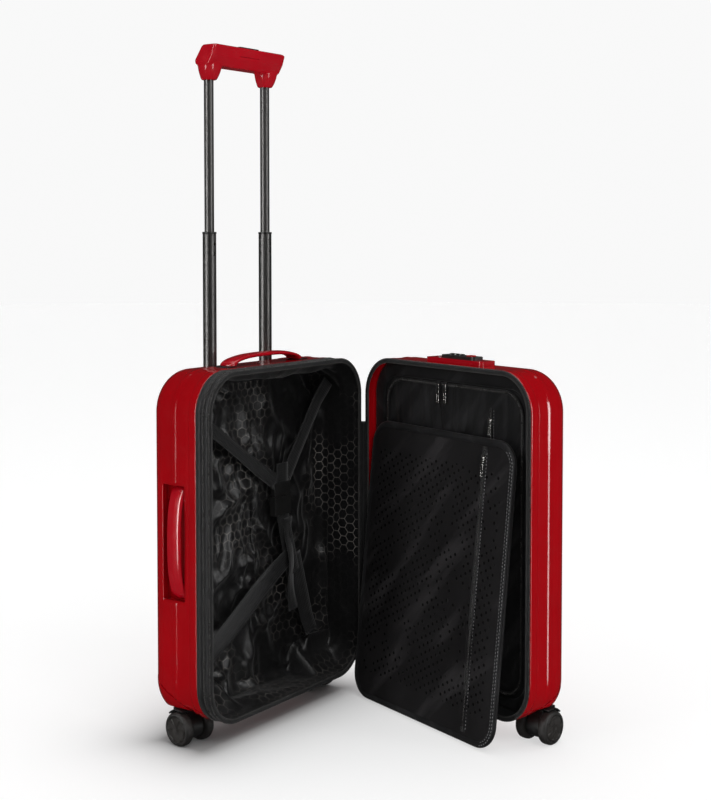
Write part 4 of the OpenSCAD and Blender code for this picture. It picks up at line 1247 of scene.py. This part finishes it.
fork = fused("fork_rear_left", fork_solids, 0.0009, 5, BLACK)
for end, half, depth, angle, out in (
        ("rear", REAR, REAR_SWIVEL, -7, 1), ("front", LID, -LID_SWIVEL, 189, -1)):
    for hand, side in (("left", -1), ("right", 1)):
        corner = f"{end}_{hand}"
        body = "caster_" + corner
        where = half @ moved(side * SWIVEL_X, depth, 0) @ turned(angle, "Z")
        if corner != "rear_left":
            fork = link("fork_" + corner, fork.data)
        fork.matrix_world = where
        settle(fork, body, (body,))
        for name, s in (("out", out * side), ("in", -out * side)):
            node = f"wheel_{corner}_{name}"
            half_turn, roll = (180, 9) if s < 0 else (0, 25)
            place = where @ moved(s * PAIR, -TRAIL, AXLE_Z) @ turned(half_turn, "Z") @ turned(roll, "X")
            settle(link(f"tyre_{corner}_{name}", wheel_mesh, place), node, (node,))
        ring = round_points(-TRAIL, AXLE_Z, 0.0028, np.linspace(0, 2 * math.pi, 24, endpoint=False))
        axle = stack([[(x, y, z) for y, z in ring] for x in (-0.0150, -0.0149, 0.0149, 0.0150)])
        piece("axle_" + corner, *axle, STEEL, body, where)


# ---------- lock dials ----------
SEGMENTS = {"a": ((-1, 2), (1, 2)), "b": ((1, 2), (1, 0)), "c": ((1, 0), (1, -2)), "d": ((-1, -2), (1, -2)),
            "e": ((-1, 0), (-1, -2)), "f": ((-1, 2), (-1, 0)), "g": ((-1, 0), (1, 0))}
NUMERALS = ("abcdef", "bc", "abged", "abgcd", "fgbc", "afgcd", "afgedc", "abc", "abcdefg", "abcfgd")
DIAL_R, DIGIT_W, DIGIT_H, STROKE = 0.0066, 0.00085, 0.00055, 0.00017
for i in range(3):
    verts, faces, first = [], [], (4, 7, 1)[i]
    for k in range(10):
        for name in NUMERALS[(first + k) % 10]:
            (x0, y0), (x1, y1) = SEGMENTS[name]
            a, b = np.array([x0 * DIGIT_W, y0 * DIGIT_H]), np.array([x1 * DIGIT_W, y1 * DIGIT_H])
            d = (b - a) / np.linalg.norm(b - a) * STROKE
            side = np.array([-d[1], d[0]])
            at = len(verts)
            for r in (DIAL_R - 0.0002, DIAL_R + 0.00010):
                for u, v in (a - d + side, a - d - side, b + d - side, b + d + side):
                    t = math.radians(36 * k) + v / DIAL_R
                    verts.append((u, r * math.sin(t), r * math.cos(t)))
            faces += [tuple(at + j for j in f) for f in (
                (3, 2, 1, 0), (4, 5, 6, 7), (0, 1, 5, 4), (1, 2, 6, 5), (2, 3, 7, 6), (3, 0, 4, 7))]
    piece(f"numerals_{i + 1}", verts, faces, DIGITS, f"dial_{i + 1}",
          LID @ moved(0.018 - 0.011 * i, -0.038, TOP_Z + 0.0075), flat=True)

# ---------- floor, light and camera ----------
# Strength of the floor's painted glow, the reach of its painted shadow, and its dip towards the middle.
FLOOR_GLOW, PAINTED_SHADOW_REACH, GLOW_DIP, GLOW_DIP_REACH = 0.722, 0.055, 0.19, 1.2
floor_mesh = bpy.data.meshes.new("floor")
with editing(floor_mesh) as bm:
    bmesh.ops.create_circle(bm, cap_ends=True, segments=96, radius=14)
floor = link("floor", floor_mesh)
paper = Net("floor_paper_painted_shadow", (0.42, 0.42, 0.42), 0.8, Specular_IOR_Level=0.1)
paper.set(paper.colour(paper.noise(paper.place(), 6, 3), (0.414, 0.414, 0.414), (0.426, 0.426, 0.426)))
# Painted light: the floor glows though it is no lamp, with a painted shadow under the rear half where the
# glow fades out, and less glow towards the middle.
painted_shadow_middle = REAR @ Vector((0, 0.072, 0))
at = paper.vmath("ABSOLUTE", paper.place(shift=(-painted_shadow_middle[0], -painted_shadow_middle[1], 0)))
past = paper.vmath("MAXIMUM", paper.vmath("SUBTRACT", at, (0.175, 0.040, 9)), (0, 0, 0))
apart = paper.vmath("LENGTH", past, out=1)
# near is 1 at the rear half's footprint: the painted shadow.
near = paper.math("EXPONENT", paper.math("MULTIPLY", apart, -1 / PAINTED_SHADOW_REACH))
from_middle = paper.vmath("LENGTH", paper.place(), out=1)
glow_dip_share = paper.math("EXPONENT", paper.math("MULTIPLY", from_middle, -1 / GLOW_DIP_REACH))
lift = paper.math("MULTIPLY_ADD", glow_dip_share, -GLOW_DIP, FLOOR_GLOW)
glow = paper.math("MULTIPLY", lift, paper.math("SUBTRACT", 1, near))
paper.feed(paper.bsdf.inputs["Emission Strength"], glow)
paper.bsdf.inputs["Emission Color"].default_value = (1, 1, 1, 1)
paper.bump(paper.noise(paper.place(), 500, 2), 0.00003)
floor_mesh.materials.append(paper.mat)
floor.visible_glossy = False
floor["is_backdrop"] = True

world = bpy.data.worlds.new("studio")
world.use_nodes = True
bpy.context.scene.world = world
sky = Nodes(world.node_tree)
sky.tree.nodes.clear()


def backdrop(strength):
    n = sky.node("ShaderNodeBackground")
    n.inputs["Color"].default_value = (1, 1, 1, 1)
    sky.feed(n.inputs["Strength"], strength)
    return n.outputs[0]


def world_mix(share, a, b):
    n = sky.node("ShaderNodeMixShader")
    for s, v in zip(n.inputs, (share, a, b)):
        sky.feed(s, v)
    return n.outputs[0]


# Two upright bright strips, as (direction in degrees, half width in degrees, strength), for the
# reflections only
STRIPS, STRIP_EDGE = ((-83.5, 3.0, 8.0), (163.4, 4.4, 11.0)), 1.2
x, y, z = sky.split(sky.node("ShaderNodeTexCoord").outputs["Generated"])
azimuth = sky.math("ARCTAN2", y, x)
tall = sky.math("SMOOTH_MIN", sky.math("MAXIMUM", sky.math("MULTIPLY_ADD", z, 14, 4.9), 0), 1, 0.2)
glow = 0.02
for degrees, half, power in STRIPS:
    away = sky.math("ABSOLUTE", sky.math("SUBTRACT", azimuth, math.radians(degrees)))
    inside = sky.math("MULTIPLY_ADD", away, -1 / math.radians(STRIP_EDGE), half / STRIP_EDGE)
    inside = sky.math("MINIMUM", sky.math("MAXIMUM", inside, 0), 1)
    glow = sky.math("MULTIPLY_ADD", sky.math("MULTIPLY", inside, tall), power, glow)
ray = sky.node("ShaderNodeLightPath")
both = world_mix(ray.outputs["Is Glossy Ray"], backdrop(0.55), backdrop(glow))
seen = world_mix(ray.outputs["Is Camera Ray"], both, backdrop(0.945))
sky.feed(sky.node("ShaderNodeOutputWorld").inputs[0], seen)


def softbox(name, at, look, size, power, colour=(1, 1, 1)):
    lamp = bpy.data.lights.new(name, "AREA")
    lamp.shape, lamp.size, lamp.size_y, lamp.energy, lamp.color = "RECTANGLE", size[0], size[1], power, colour
    o = link(name, lamp)
    o.location = at
    o.rotation_euler = (Vector(look) - Vector(at)).to_track_quat("-Z", "Y").to_euler()
    o.visible_camera = False
    return o


softbox("key", (-1.6, -2.3, 2.7), (0, -0.05, 0.35), (1.8, 1.4), 36)
softbox("overhead", (0.2, 0.1, 3.0), (0, 0, 0.3), (2.2, 2.2), 26)
softbox("strip_left", (-2.75, 0.95, 0.75), (-0.2, 0.1, 0.35), (0.40, 1.7), 13)
softbox("strip_right", (0.52, -2.93, 0.75), (0.1, -0.3, 0.35), (0.42, 1.5), 12)

camera_data = bpy.data.cameras.new("camera")
camera = link("camera", camera_data)
camera.location = (-1.7596, -1.1713, 0.7451)
camera.rotation_euler = (math.radians(87.266), 0, math.radians(-55.50))
camera_data.lens, camera_data.sensor_width = 64.252, 36
camera_data.shift_y = -0.12
bpy.context.scene.camera = camera
bpy.context.scene.view_settings.view_transform = "Standard"

low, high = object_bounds()
